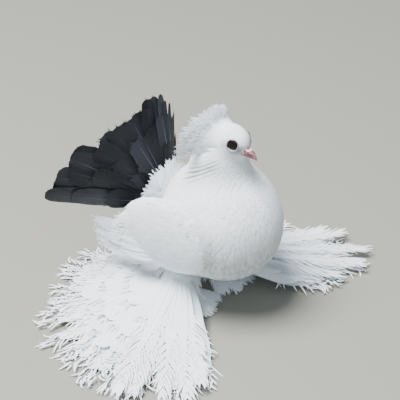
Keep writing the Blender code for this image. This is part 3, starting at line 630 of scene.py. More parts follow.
def vaneForm(controls, faces, length, half, look, rng):
    # Place = shaft(t) + side x + along |x| sweep - over x^2 camber, for x from edge to edge, with a
    # ragged edge. A ring goes over the upper face and back under the lower one.
    t, s = np.array(look["vaneAt"]), np.linspace(-1, 1, look["columns"])
    place, along, side, over = shaftFrames(controls, faces, t)
    ragged = 1 + look["ragged"] * rng.standard_normal(place.shape[:2] + (1,)) * np.abs(s)
    x = (half[:, None] * look["vaneWidth"])[..., None] * s * ragged
    swept = np.abs(x) * look["sweep"] * smoothStep(0, 0.25, t)[:, None]
    middle = (place[:, :, None] + times(side, x) + times(along, swept)
              - times(over, x ** 2 * look["camber"]))
    rise = times(over, np.broadcast_to(look["thick"] / 2 * (1 - 0.7 * np.abs(s)), x.shape))
    points = np.concatenate([middle + rise, (middle - rise)[:, :, ::-1]], 2)
    flat = np.stack([x, length[:, None, None] * t[:, None] + swept], -1)
    flat = np.concatenate([flat, flat[:, :, ::-1] * (0.95, 0.985)], 2)
    rings, ring = len(t), 2 * len(s)
    return points, flat, [np.concatenate([loftFaces(rings, ring), foldCap(0, ring, False),
                                          foldCap((rings - 1) * ring, ring, True)])]


def shaftForm(controls, faces, length, look):
    # Tapered rod of five sides along the curve, standing a little proud of the vane
    t, bend = np.linspace(0, look["shaftEnd"], look["shaftRings"]), around(5)
    place, along, side, over = shaftFrames(controls, faces, t)
    radius = np.broadcast_to((look["shaft"] * (1 - 0.8 * t))[:, None], (len(controls), len(t), 5))
    x = radius * np.cos(bend)
    points = place[:, :, None] + times(side, x) + times(over, radius * (np.sin(bend) + 0.3))
    flat = np.stack([x, length[:, None, None] * t[:, None] + np.sin(bend) * 0.4], -1)
    ends = np.array([[0, 4, 1], [1, 4, 2], [2, 4, 3]])
    return points, flat, [loftFaces(len(t), 5), np.concatenate([ends, ends[:, ::-1] + (len(t) - 1) * 5])]


def barbForm(controls, faces, length, look, rng):
    # Each barb leaves the shaft at an angle and bends by its curl: its place is the running sum of
    # steps along and aside by the cosine and sine of its heading. Its section is a low triangle.
    count, steps = look["barbs"], look["barbSteps"]
    base = np.linspace(*look["barbAt"], count)
    base = base + rng.uniform(-0.4, 0.4, (len(controls), 2, count)) * (base[1] - base[0])
    shape = base.shape
    place, along, side, over = (v.reshape(shape + (3,)) for v in
                                shaftFrames(controls, faces, base.reshape(len(controls), -1)))
    hand = np.array((-1, 1))[:, None, None]  # left and right of the shaft
    side = side * hand
    reach = np.interp(base, look["barbReachAt"], look["barbReach"]) * rng.uniform(0.75, 1.2, shape)
    reach = reach[..., None]
    u = np.linspace(0, 1, 25)
    curl = np.radians(look["curl"][0] + look["curl"][1] * rng.standard_normal(shape))[..., None]
    heading = np.radians(np.interp(base, (0, 1), look["barbAngle"]))[..., None] + curl * u ** 1.5
    ahead, aside = (np.insert(np.cumsum(part(heading[..., :-1]) * reach / 24, -1), 0, 0, -1)
                    for part in (np.cos, np.sin))
    # The part inside the vane isn't drawn
    drawn = np.round(np.linspace(look["barbFrom"], 1, steps + 1) * 24).astype(int)
    u, heading, aside, ahead = (v[..., drawn] for v in (u, heading, aside, ahead))
    rise = (rng.standard_normal(shape)[..., None] * look["barbRise"] * reach * u ** 2
            + look["barbLift"] - look["camber"] * aside ** 2)
    middle = place[..., None, :] + times(side, aside) + times(along, ahead) + times(over, rise)
    width = look["barbWidth"] * 0.5 * np.interp(u, (0, 0.35, 0.8, 1), (0.9, 1, 0.75, 0.1))
    out = (times(side, np.cos(heading)) - times(along, np.sin(heading))) * width[:, None]
    ridge = over[..., None, :] * (look["barbThick"] * np.interp(u, (0, 1), (1, 0.4)))[:, None]
    run = length[:, None, None, None] * base[..., None] + ahead
    flat = np.stack(np.broadcast_arrays((aside * hand)[..., None] + (-0.3, 0.3, 0),
                                        run[..., None] + (0, 0, 0.4)), -1)

    def tipped(rings):
        # The last ring is only its ridge's point
        return np.concatenate([rings[..., :-1, :, :].reshape(shape + (-1, rings.shape[-1])),
                               rings[..., -1:, 2, :]], -2)

    size = steps * 3 + 1
    made = []
    for faceSet in (loftFaces(steps, 3),
                    np.concatenate([[[0, 2, 1]], fanCap(size - 4, 3, size - 1, False)])):
        # The left barbs mirror the right ones, so their faces turn the other way
        every = faceSet + np.arange(2 * count)[:, None, None] * size
        every[:count] = every[:count, :, ::-1].copy()
        made.append(every.reshape(-1, faceSet.shape[1]))
    return tipped(np.stack([middle - out, middle + out, middle + ridge], -2)), tipped(flat), made


def plumes(name, made, look, material, rng, slot, replaces=()):
    # All the feathers of one kind as one object. Each has a cell of its own on the OFBake map.
    controls, faces, half = (np.concatenate(part) for part in zip(*made))
    faces, count, look = unit(faces), len(controls), {**plainLook, **look}
    length = np.linalg.norm(np.diff(curveAt(controls, np.linspace(0, 1, 9))[0], axis=1), axis=-1).sum(1)
    forms = [(vaneForm(controls, faces, length, half, look, rng), 0),
             (barbForm(controls, faces, length, look, rng), 0)]
    if look["shaft"]:
        forms.insert(1, (shaftForm(controls, faces, length, look), 1))
    points, flat, isShaft, groups, offset = [], [], [], {4: [], 3: []}, 0
    for (place, plan, faceSets), onShaft in forms:
        points.append(place.reshape(count, -1, 3))
        flat.append(plan.reshape(count, -1, 2))
        isShaft.append(np.full(points[-1].shape[:2], onShaft))
        for faceSet in faceSets:
            groups[faceSet.shape[1]].append(faceSet + offset)
        offset += points[-1].shape[1]
    points, flat, isShaft = (np.concatenate(parts, 1) for parts in (points, flat, isShaft))
    # Nothing dips below the floor: low points are lifted to a thin layer over it, in their own order
    up = points[..., 2]
    points[..., 2] = np.where(up < thinLayer, thinLayer * np.exp(up / thinLayer - 1), up)
    columns = math.ceil(math.sqrt(count))
    cell = np.stack(np.divmod(np.arange(count), columns)[::-1], -1)[:, None]
    flatX, flatY = flat[..., 0], flat[..., 1]
    spot = np.stack([0.5 + 0.46 * flatX / np.abs(flatX).max(),
                     0.05 + 0.9 * np.abs(flatY) / flatY.max()], -1)
    putMesh(name, points, [repeatFaces(np.concatenate(group), count, offset) for group in groups.values()],
            material, {"barbRun": flatY - 0.8 * np.abs(flatX), "shaft": isShaft,
                       "tuft": np.broadcast_to(rng.random(count)[:, None], isShaft.shape)},
            (cell + spot) / (columns, math.ceil(count / columns)), 50, replaces, slot)


def varied(controls, faces, half, rng, roll=0.25, swell=(0.9, 1.1)):
    # Each feather rolled a little about its length, and its width varied
    side = np.cross(unit(controls[:, 3] - controls[:, 0]), faces)
    return (controls, faces + times(side, rng.uniform(-roll, roll, len(faces))),
            half * rng.uniform(*swell, len(faces)))


# Foot feathers: tiers that fan out round each foot, drop from the hock and lie out over the floor

muff = {
    "root": (-28, 25), "start": 4, "seed": 41,
    # For each side (right 1, left -1): degrees forward of straight out, and the reach there
    "reachAt": {1: (-92, -75, -60, -45, -28, -10, 5, 15, 30, 44, 51),
                -1: (-84, -60, -25, 0, 12, 22, 30, 41, 46, 52, 68)},
    "reach": {1: (103, 112, 118, 123, 130, 141, 151, 154, 152, 144, 124),
              -1: (106, 116, 112, 98, 104, 134, 136, 158, 142, 126, 106)},
    # Tiers: look, feathers, share of the reach, height of roots and tips, half width, spread's inset
    "tiers": (("fringe", 21, 1, 26, 1.6, 11, 0), ("fringe", 18, 0.83, 29, 5, 12, 3),
              ("sheet", 17, 0.74, 31, 8, 13, 3), ("sheet", 14, 0.58, 33, 11.5, 12.5, 6),
              ("sheet", 12, 0.4, 36, 16, 10.5, 10)),
    # Long open combs in front of the fan: feathers, range of degrees, share of the reach, heights
    "combs": {1: (5, (17, 50), 1, 34, 7), -1: (5, (20, 57), 1, 34, 7)}, "combHalf": 6,
    # Along a feather at four shares of its run: its root's fall and its sway
    "runs": (0, 0.3, 0.66, 1), "sways": (0, 0.2, 0.35, 1), "fall": 0.62, "sway": 6, "roll": 0.14,
    "looks": {
        "sheet": {
            "vaneAt": (0, 0.08, 0.18, 0.3, 0.45, 0.6, 0.73, 0.83, 0.9, 0.955, 0.99), "columns": 9,
            "vaneWidth": (0.12, 0.5, 0.85, 1, 1, 1, 0.96, 0.86, 0.7, 0.46, 0.16), "thick": 0.3,
            "sweep": 0.4, "ragged": 0.012, "camber": 0.012, "shaft": 0.4, "shaftRings": 12,
            "shaftEnd": 0.9, "barbs": 12, "barbSteps": 4, "barbFrom": 0.5, "barbAt": (0.66, 0.97),
            "barbReachAt": (0.6, 0.8, 0.95, 1), "barbReach": (16, 16, 12, 9), "barbAngle": (60, 18),
            "curl": (-10, 22), "barbWidth": 1.3, "barbThick": 0.24, "barbRise": 0.05, "barbLift": 0.1},
        "fringe": {
            "vaneAt": (0, 0.08, 0.18, 0.3, 0.45, 0.58, 0.68, 0.76, 0.83, 0.89), "columns": 7,
            "vaneWidth": (0.12, 0.5, 0.85, 1, 1, 0.98, 0.84, 0.62, 0.4, 0.16), "thick": 0.3,
            "sweep": 0.5, "ragged": 0.02, "camber": 0.008, "shaft": 0.75, "shaftRings": 14,
            "barbs": 13, "barbSteps": 7, "barbFrom": 0.3, "barbAt": (0.5, 0.975),
            "barbReachAt": (0.5, 0.65, 0.8, 0.9, 1), "barbReach": (18, 23, 24, 18, 11),
            "barbAngle": (66, 20), "curl": (-6, 52), "barbWidth": 1.7, "barbThick": 0.36,
            "barbRise": 0.09, "barbLift": 0.15},
        "comb": {
            "vaneAt": (0, 0.08, 0.18, 0.3, 0.45, 0.55, 0.66, 0.8), "columns": 5,
            "vaneWidth": (0.2, 0.7, 1, 1, 0.8, 0.5, 0.28, 0.1), "thick": 0.3, "sweep": 0.5,
            "ragged": 0.03, "camber": 0.01, "shaft": 1, "shaftRings": 14, "shaftEnd": 0.99,
            "barbs": 30, "barbSteps": 6, "barbAt": (0.36, 0.985),
            "barbReachAt": (0.36, 0.5, 0.7, 0.9, 1), "barbReach": (18, 22, 22, 17, 9),
            "barbAngle": (58, 26), "curl": (-24, 12), "barbWidth": 1.5, "barbThick": 0.34,
            "barbRise": 0.04, "barbLift": 0.2}},
}


def outward(angle, side):
    # Level directions at degrees forward of straight out from one side of the bird
    turn = np.radians(angle)
    return np.stack([np.sin(turn), np.cos(turn) * side, 0 * turn], -1)


def muffCurves(side, angle, share, rootUp, tipUp, rng):
    # A foot feather leaves the hock outward, falls to the floor by a third of its run and lies along it
    count, start = len(angle), muff["start"]
    reach = (np.interp(angle, muff["reachAt"][side], muff["reach"][side]) * share
             * rng.uniform(0.88, 1, count))
    out, aside = outward(angle, side), outward(angle + 90, side)
    sway = rng.uniform(-muff["sway"], muff["sway"], count) * share
    tip = tipUp + rng.uniform(0, 3.5, count)
    spots = (np.array((muff["root"][0], muff["root"][1] * side, 0))
             + times(out, start + np.outer(reach - start, muff["runs"]))
             + times(aside, np.outer(sway, muff["sways"])))
    spots[..., 2] = np.stack(np.broadcast_arrays(rootUp, rootUp * muff["fall"], tipUp + 4, tip), -1)
    return spots, upward + times(aside, rng.uniform(-muff["roll"], muff["roll"], count))


def makeMuffs(material):
    for side, word in sides:
        rng = np.random.default_rng(muff["seed"] + side)
        low, high = muff["reachAt"][side][0], muff["reachAt"][side][-1]
        made = {look: [] for look in muff["looks"]}
        for look, count, share, rootUp, tipUp, half, inset in muff["tiers"]:
            angle = np.linspace(low + inset, high - inset, count) + rng.uniform(-2, 2, count)
            made[look].append((*muffCurves(side, angle, share, rootUp, tipUp, rng),
                               half * rng.uniform(0.9, 1.1, count)))
        count, span, *shape = muff["combs"][side]
        angle = np.linspace(*span, count) + rng.uniform(-2, 2, count)
        made["comb"].append((*muffCurves(side, angle, *shape, rng), np.full(count, muff["combHalf"])))
        for look, parts in made.items():
            plumes("muff_" + look + "_" + word, parts, muff["looks"][look], material, rng, "white_feather")


# Fans of feathers on a cone: tail, tail coverts, vent and crest

tail = {
    "root": (-55, 0, 81), "rise": 15, "open": 45, "halfFan": 91, "turned": 5, "start": 5, "sag": -3,
    "lengthAt": (-88, -62, -40, -18, 0, 18, 34, 46, 58, 68, 80, 96),
    "length": (98, 102, 104, 92, 84, 88, 90, 88, 110, 102, 110, 120), "seed": 77,
    # Layers: feathers, share of the length, half width, degrees further open
    "layers": ((24, 1, 12.5, 0), (15, 0.78, 12, 3), (9, 0.54, 11, 6)),
    # Lobe of flesh: centre and radii aside, upright and along; its rows and turns
    "block": ((-56, 0, 82), (13.5, 9, 10), (30, 44)),
    # White lobes on the back of the fan: feathers, reach, half width, degrees less open
    "backs": ((15, 36, 6.5, -5), (11, 29, 6.5, -15), (7, 22, 6.5, -28)),
    "look": {
        "vaneAt": (0, 0.06, 0.16, 0.3, 0.45, 0.6, 0.73, 0.83, 0.9, 0.95, 0.985, 1), "columns": 9,
        "vaneWidth": (0.16, 0.26, 0.42, 0.6, 0.76, 0.9, 0.99, 1, 0.93, 0.78, 0.5, 0.2), "thick": 0.4,
        "sweep": 0.1, "ragged": 0.04, "camber": 0.012, "shaft": 0.7, "shaftRings": 16,
        "barbs": 26, "barbAt": (0.3, 0.94), "barbFrom": 0.5, "barbSteps": 3,
        "barbReachAt": (0.3, 0.5, 0.75, 0.88, 0.95), "barbReach": (8, 12, 15, 13, 7),
        "barbAngle": (50, 36), "curl": (-6, 5), "barbWidth": 1.2, "barbThick": 0.12,
        "barbRise": 0.01, "barbLift": 0.1},
}

lobeLook = {
    "vaneAt": (0, 0.12, 0.28, 0.46, 0.64, 0.78, 0.89, 0.96, 0.99), "columns": 9,
    "vaneWidth": (0.35, 0.6, 0.84, 0.98, 1, 0.94, 0.78, 0.5, 0.2), "thick": 0.4, "sweep": 0.12,
    "ragged": 0.02, "camber": 0.026, "barbs": 12, "barbSteps": 3, "barbFrom": 0.55,
    "barbAt": (0.6, 0.95), "barbReachAt": (0.6, 0.8, 0.95), "barbReach": (9.5, 9, 6),
    "barbAngle": (56, 20), "curl": (-6, 10), "barbWidth": 1.3, "barbThick": 0.2, "barbRise": 0.03,
    "barbLift": 0.05,
}

softLook = {
    "vaneAt": (0, 0.1, 0.25, 0.42, 0.6, 0.76, 0.88, 0.96), "columns": 7,
    "vaneWidth": (0.2, 0.5, 0.8, 0.97, 1, 0.86, 0.58, 0.2), "thick": 0.3, "sweep": 0.2,
    "ragged": 0.06, "camber": 0.02, "shaft": 0.4, "shaftRings": 8, "barbs": 16,
    "barbAt": (0.3, 0.97), "barbReachAt": (0.3, 0.6, 0.85, 1), "barbReach": (8, 10.5, 9, 5),
    "barbAngle": (48, 24), "curl": (-12, 14), "barbWidth": 1.1, "barbThick": 0.22, "barbRise": 0.06,
    "barbLift": 0.12,
}

covert = {
    "root": (-49, 0, 82), "rise": 15, "open": 64, "halfFan": 76, "sag": -5, "reach": 42,
    "layers": ((15, 1, 8.5, 0), (13, 0.84, 8.5, 6), (11, 0.64, 8.5, 12)),
}

vent = {
    "root": (-44, 0, 76), "rise": -12, "open": 30, "halfFan": 72, "sunk": 4,
    "layers": ((11, 40, 8, 0), (9, 31, 7.5, 5), (7, 22, 7, 10)),
}


def fanOf(form, opened, turn, start, reach, sag, yaw=0):
    # A feather runs along axis cos(opened) + out sin(opened), where out turns about the axis. It sags
    # by the square of its run toward its face, out cos(opened) - axis sin(opened).
    rise, opened, turn = np.radians(form["rise"]), np.radians(opened)[:, None], np.radians(turn)[:, None]
    axis = np.array((-math.cos(rise), 0, math.sin(rise)))
    out = (np.array((math.sin(rise), 0, math.cos(rise))) * np.cos(turn)
           + np.array((0, 1, 0)) * np.sin(turn))
    c, s = math.cos(yaw), math.sin(yaw)
    swing = np.array(((c, s, 0), (-s, c, 0), (0, 0, 1)))
    along = (axis * np.cos(opened) + out * np.sin(opened)) @ swing
    face = (out * np.cos(opened) - axis * np.sin(opened)) @ swing
    start, reach, sag = (np.asarray(v)[..., None] for v in (start, reach, sag))
    first, last = form["root"] + along * start, form["root"] + along * reach + face * sag
    third = along * (reach - start) / 3
    return np.stack([first, first + third, last - third - face * sag * 2 / 3, last], 1), face


def spread(count, half, rng, shake=0.3):
    return np.linspace(-half, half, count) + rng.uniform(-shake, shake, count) * 2 * half / count


def makeTail(dark, white):
    rng = np.random.default_rng(tail["seed"])
    made = []
    for count, share, half, more in tail["layers"]:
        turn = spread(count, tail["halfFan"] - more, rng) + tail["turned"]
        reach = np.interp(turn, tail["lengthAt"], tail["length"]) * share * rng.uniform(0.94, 1, count)
        opened = tail["open"] + more + rng.uniform(-2.5, 2.5, count)
        sag = tail["sag"] + rng.uniform(-3, 3, count)
        made.append(varied(*fanOf(tail, opened, turn, tail["start"], reach, sag), half, rng, 0.22,
                           (0.92, 1.08)))
    plumes("tail_fan", made, tail["look"], dark, rng, "dark_feather", ("tail",))
    # The lobe of flesh that the tail's quills sit in, with its own small feathers
    centre, radii, grid = tail["block"]
    points = ballPoints(centre, radii, np.roll(np.eye(3), 1, 1), *grid)
    putMesh("tail_root", points, closedGrid(*grid), white, slot="white_coat")

    made = []
    for count, share, half, more in covert["layers"]:
        turn = spread(count, covert["halfFan"], rng)
        reach = covert["reach"] * (1 - 0.14 * np.sin(np.radians(turn)) ** 2) * share
        reach = reach * rng.uniform(0.82, 1, count)
        opened = covert["open"] + more + rng.uniform(-3, 3, count)
        sag = covert["sag"] * share + rng.uniform(-2, 2, count)
        made.append(varied(*fanOf(covert, opened, turn, 1, reach, sag), half, rng))
    plumes("tail_covert_lobes", made, lobeLook, white, rng, "white_coat", ("tail_coverts",))

    made = []
    for count, reach, half, more in vent["layers"]:
        turn = 180 + spread(count, vent["halfFan"], rng)
        opened = vent["open"] + more + rng.uniform(-3, 3, count)
        aim = fanOf(vent, opened, turn, 0, 1, 0)[0]
        start = leave(fleshField, vent["root"], unit(aim[:, 3] - aim[:, 0]), 0) - vent["sunk"]
        reach = start + reach * rng.uniform(0.9, 1.05, count)
        made.append(varied(*fanOf(vent, opened, turn, start, reach, rng.uniform(-2, 2, count)), half, rng))
    plumes("vent_lobes", made, softLook, white, rng, "white_feather", ("vent_feathers",))

    made = []
    for count, reach, half, more in tail["backs"]:
        turn = spread(count, tail["halfFan"], rng) + tail["turned"]
        opened = tail["open"] + more + rng.uniform(-2, 2, count)
        reach = reach * rng.uniform(0.85, 1, count)
        made.append(varied(*fanOf(tail, opened, turn, 4, reach, tail["sag"]), half, rng, 0.2))
    plumes("tail_back_lobes", made, lobeLook, white, rng, "white_feather")


crest = {
    "middle": (-5, 0, 1), "back": -0.45, "halfFan": 112, "open": 45, "openTop": 15, "seed": 8,
    "length": (13.3, 25), "leftShare": 0.75, "openLeft": 30, "sag": 30, "clump": (9, 2.3),
    # Layers: feathers, share of the length, half width, degrees further open, out from the root
    "layers": ((58, 1, 1.6, 0, 0), (44, 0.84, 2.7, 2, 0.5),
               (36, 0.74, 3.2, 4.5, 1), (28, 0.58, 3.3, 8, 1.5)),
    # Ramps: one for each so many outer feathers, root's back share, where it leans, half width
    "ramps": ((1, -0.3, 0.78, 2.6), (1, -0.1, 0.62, 3), (2, 0.1, 0.45, 3.2), (2, 0.3, 0.3, 3.2)),
    "look": {
        "vaneAt": (0, 0.15, 0.35, 0.55, 0.72, 0.85, 0.94), "columns": 5,
        "vaneWidth": (0.6, 0.9, 1, 1, 0.95, 0.8, 0.45), "thick": 0.22, "sweep": 0.3, "ragged": 0.03,
        "camber": 0.03, "barbs": 7, "barbSteps": 4, "barbFrom": 0.4, "barbAt": (0.66, 0.94),
        "barbReachAt": (0.6, 0.8, 1), "barbReach": (8, 8, 6.5), "barbAngle": (36, 6), "curl": (4, 17),
        "barbWidth": 0.85, "barbThick": 0.2, "barbRise": 0.07, "barbLift": 0.04},
}


def makeCrest(material):
    rng = np.random.default_rng(crest["seed"])
    middle = headPlace(*crest["middle"])
    (short, long), (pitch, pull) = crest["length"], crest["clump"]
    made = []
    for count, share, half, more, out in crest["layers"]:
        turn = spread(count, crest["halfFan"] - 1.5 * out, rng, 0.45)
        # The outer strands gather into tufts: each turn moves by a sine of itself
        turn = turn + (pull * np.sin(turn * math.tau / pitch) if out == 0 else 0)
        c, s = np.cos(np.radians(turn)), np.sin(np.radians(turn))
        opened = (crest["open"] + crest["openTop"] * np.maximum(c, 0) ** 2 + more
                  + rng.uniform(-1.5, 1.5, count))
        opened = opened + (crest["openLeft"] - opened) * np.clip(-turn / 45, 0, 1)
        reach = ((short + (long - short) * s ** 2) * share * np.where(turn < 0, crest["leftShare"], 1)
                 * rng.uniform(0.86, 1.02, count))
        # Roots sit where rays back and out from the skull's middle leave the flesh
        aim = headAim(crest["back"], s, c)
        root = middle + times(aim, leave(fleshField, middle, aim, -0.6))
        sag = crest["sag"] * (reach / 100) ** 2 + rng.uniform(-0.3, 0.6, count)
        controls, faces = fanOf({"root": root, "rise": 0}, opened, turn, -1.5, reach, sag, flesh["headYaw"])
        made.append(varied(controls, faces, half, rng, 0.08, (0.9, 1.15)))
        if out > 0:
            continue
        # Ramps: feathers that rise from the skull and lean on the shell, so that no seam shows
        for stride, back, leanOn, wide in crest["ramps"]:
            lean, along = curveAt(controls[::stride], np.array((leanOn, 1)))
            near, face = headAim(back, s, c)[::stride], faces[::stride]
            start = middle + times(near, leave(fleshField, middle, near, -0.5))
            end = lean[:, 0] + face * 0.5
            gap = np.linalg.norm(end - start, axis=1)[:, None] / 3
            slope = unit(unit(end - start) - near * 0.35)
            ramp = np.stack([start, start + slope * gap, end - along[:, 0] * gap, end], 1)
            made.append((ramp, unit(face + near), wide * rng.uniform(0.9, 1.15, len(ramp))))
    plumes("crest_shell", made, crest["look"], material, rng, "white_coat", ("crest",))


# Wings, folded: a shell of skin each, coverts laid on it and rows of long flights behind them

wing = {
    "skinDepth": 1.7, "rows": 60, "turns": 84, "seed": 23, "rings": (90, 80), "step": (3.6, 4.2),
    "covered": -1, "tilt": 0.34, "lowShadeAndStain": 0.26, "drawnOut": 0.76, "backEnd": -0.86, "turn": 4,
    # Along the wing from back to front (-1 to 1): length, width, lift of tip of the coverts
    "at": (-1, -0.6, -0.2, 0.3, 0.7, 1), "length": (30, 26, 20, 15, 11, 9),
    "width": (12.5, 12, 11, 9.5, 8, 7), "lift": (1.8, 1.5, 1.1, 0.8, 0.6, 0.5),
    # Rows of flights: count, half width, ((root, tip) of the first, (root, tip) of the last)
    "flights": ((9, 7.2, (((-42, 42.5, 66), (-115, 41, 56)), ((-38, 42.5, 54), (-106, 41, 33)))),
                (10, 7.4, (((-36, 46, 90), (-88, 45.2, 65)), ((-34, 46, 62), (-97, 45.2, 49)))),
                (9, 7, (((-36, 51.5, 97), (-76, 50.5, 79)), ((-32, 51.5, 60), (-74, 50.5, 50))))),
    "look": {
        "vaneAt": (0, 0.08, 0.22, 0.4, 0.58, 0.74, 0.86, 0.94, 0.985), "columns": 7,
        "vaneWidth": (0.2, 0.5, 0.82, 1, 1, 0.9, 0.7, 0.44, 0.16), "thick": 0.35, "sweep": 0.15,
        "ragged": 0.03, "camber": 0.02, "shaft": 0.6, "shaftRings": 10, "barbs": 12, "barbFrom": 0.6,
        "barbAt": (0.5, 0.97), "barbReachAt": (0.5, 0.75, 0.9, 1), "barbReach": (9.5, 10.5, 9.5, 6),
        "barbAngle": (42, 22), "curl": (-8, 12), "barbWidth": 1.1, "barbThick": 0.2,
        "barbRise": 0.04, "barbLift": 0.1},
}


def wingTint(points):
    # The wings take a little of the low body's painted shade and stain
    return {"lowShadeAndStain": wing["lowShadeAndStain"] * smoothStep(*coat["lowShadeAndStainUp"], points[..., 2])}


def makeWings(material):
    c, s = math.cos(flesh["wingPitch"]), math.sin(flesh["wingPitch"])
    axes = np.array(((0, 1, 0), (-s, 0, c), (c, 0, s)))  # across, up and along the wing
    for side, word in sides:
        rng = np.random.default_rng(wing["seed"] + side)
        centre, (ahead, across, up) = mirrored("wing", side)
        size, deep = np.array((across, up, ahead)), wing["skinDepth"]
        points = ballPoints(centre, size - deep, axes, wing["rows"], wing["turns"])
        putMesh("wing_skin_" + word, points, closedGrid(wing["rows"], wing["turns"]), material,
                slot="white_coat")
        rings = ballPoints(centre, size, axes, *wing["rings"])[:-2].reshape(wing["rings"] + (3,))
        rowStep, acrossStep = wing["step"]
        roots = ringRoots(rings, lambda up: rowStep + 0 * up, lambda up: acrossStep, rng)
        local = (roots - centre) @ axes.T / ahead
        keep = (fleshField(roots) > wing["covered"]) & (local[:, 2] > wing["backEnd"])
        roots, local = roots[keep], local[keep]
        normals = normalOf(covertField, roots)
        flow = unit(-axes[2] + times(normals, normals @ axes[2]))
        flow = swung(flow, normals, wing["turn"], rng)
        sizes = sizesAt(wing, local[:, 2], 0.12, rng)
        # The map has the inner half of the wing on the left and the outer one on the right
        place = np.stack([0.02 + 0.24 * (local[:, 2] + 1) + 0.5 * (local[:, 0] * side > 0),
                          0.5 + 0.5 * local[:, 1]], -1)
        smallFeathers("wing_coverts_" + word, roots, normals, flow, sizes, covertField, material, place,
                      rng, wingTint)
        made = []
        away = np.array((0, side, 0))
        for count, half, ends in wing["flights"]:
            ends = np.array(ends) * (1, side, 1)
            share = np.linspace(0, 1, count)[:, None]
            first, last = (ends[0, k] * (1 - share) + ends[1, k] * share for k in (0, 1))
            last = last + rng.uniform(-1.5, 1.5, (count, 3)) * (1.5, 0.3, 0.8)
            run = last - first
            controls = [first, first + run / 3 + away * 1.2,
                        first + run * 2 / 3 + away * 1.4 + upward * 1.5, last]
            faces = away + upward * wing["tilt"] + rng.uniform(-0.05, 0.05, (count, 3))
            made.append((np.stack(controls, 1), faces, half * rng.uniform(0.94, 1.06, count)))
        plumes("flights_" + word, made, wing["look"], material, rng, "white_feather", ("wing_" + word,))


# Legs and feet: a feathered shank, scaled toes on the floor and horn claws

foot = {
    "at": (-25, 25), "hock": (-31, 25, 43), "ankle": 8, "shank": (4.2, 7.5), "seed": 51,
    # Toes: length, degrees from straight ahead
    "toes": ((22, 28), (27, 0), (23, -30), (14, 170)), "radius": 3.2, "scale": 8, "claw": 5.5,
    # Fluff on the shank: height, feathers, reach, half width; and its shares out and down
    "fluff": ((40, 12, 22, 5), (31, 12, 22, 4.8), (22, 11, 19, 4.5), (13, 10, 15, 4)),
    "fluffOut": (0, 0.3, 0.48, 0.62), "fluffDown": (0, 0.12, 0.5, 0.78),
    # Fluff over the toes: feathers, reach, half width, height, between these degrees forward
    "toeTiers": ((12, 29, 5, 8), (10, 23, 4.6, 11), (8, 16, 4.2, 14)), "toeSpan": (38, 140),
}


def shankRadius(share):
    thin, thick = foot["shank"]
    return thin + (thick - thin) * np.maximum(share, 0) ** 1.5


def makeFeet(white, skinOf, hornOf):
    for side, word in sides:
        rng = np.random.default_rng(foot["seed"] + side)
        base = np.array((foot["at"][0], foot["at"][1] * side, 0))
        hock = np.array(foot["hock"]) * (1, side, 1)
        share = np.linspace(0, 1, 14)
        middle = times(base + upward * (foot["ankle"] - 4), 1 - share) + times(hock, share)
        putMesh("shank_" + word, *tube(middle, shankRadius(share), 24), white, slot="white_coat")
        # A toe swells at each scale and rounds off at its tip; its claw curves down to the floor
        toes, claws = [], []
        t, u = np.linspace(0, 1, 40), np.linspace(0, 1, 16)
        for length, angle in foot["toes"]:
            aim = outward(90 + angle, side)
            swell = 1 + 0.07 * np.cos(t * length * math.tau / foot["scale"])
            body = foot["radius"] * (1 - 0.3 * t) * swell * np.sqrt(np.clip((1 - t) / 0.07, 0.06, 1))
            up = np.maximum(body * 0.94, 2 - 0.3 * t)
            toes.append(tube(base + times(aim, t * length) + times(upward, up), body, 20, 0))
            middle = base + times(aim, length - 1.5 + foot["claw"] * u) + times(
                upward, 2.4 + 0.8 * u - 2.4 * u ** 2)
            claws.append(tube(middle, 1.35 * (1 - 0.9 * u ** 1.3), 12, 0))
        putMesh("toes_" + word, *joined(toes), skinOf, slot="foot", replaces=("foot_" + word,))
        putMesh("claws_" + word, *joined(claws), hornOf, slot="foot")
        made = []
        for height, count, length, half in foot["fluff"]:
            angle = around(count) + rng.uniform(0, 0.5, count)
            out = np.stack([np.cos(angle), np.sin(angle), 0 * angle], -1)
            rise = (height - foot["ankle"]) / (hock[2] - foot["ankle"])
            reach = length * rng.uniform(0.85, 1.1, count)
            spots = base * (1 - rise) + hock * rise + times(
                out, shankRadius(rise) - 1.2 + np.outer(reach, foot["fluffOut"]))
            spots[..., 2] = np.maximum(height - np.outer(reach, foot["fluffDown"]),
                                       (2.5, 3.16, 3.82, 4.5))
            made.append((spots, out + upward * 0.7, np.full(count, half)))
        for count, reach, half, high in foot["toeTiers"]:
            out = outward(np.linspace(*foot["toeSpan"], count) + rng.uniform(-5, 5, count), side)
            reach = reach * rng.uniform(0.88, 1.08, count)
            spots = base + times(out, 2 + np.outer(reach, (0, 0.35, 0.7, 1)))
            spots[..., 2] = high, high + 1.5, high * 0.7, 3
            made.append((spots, out * 0.3 + upward, np.full(count, half)))
        plumes("leg_fluff_" + word, made, softLook, white, rng, "white_coat", ("leg_" + word,))


# Bill: two horn halves that meet on a line, powdery lobes over slit nostrils, and soft gape skin

bill = {
    "gape": (12, -3.6), "tip": (28.3, -5.8), "hook": 1.5, "half": 4.3, "upper": 4.6, "lower": 3,
    "lowerShort": 1.6, "gap": 0.12, "rows": 44, "ring": 36,
    # In head terms: place and radii of the lobes and the nostrils, which turn inward
    "cere": ((19.6, 1.4, -0.9), (2.1, 1.15, 1)), "nostril": ((21.9, 2.1, -2.7), (3, 0.8, 1.25)),
    "inward": -0.25, "lips": ((0.75, 0.75), (-0.75, 0.7)),  # height off the line, thickness
}


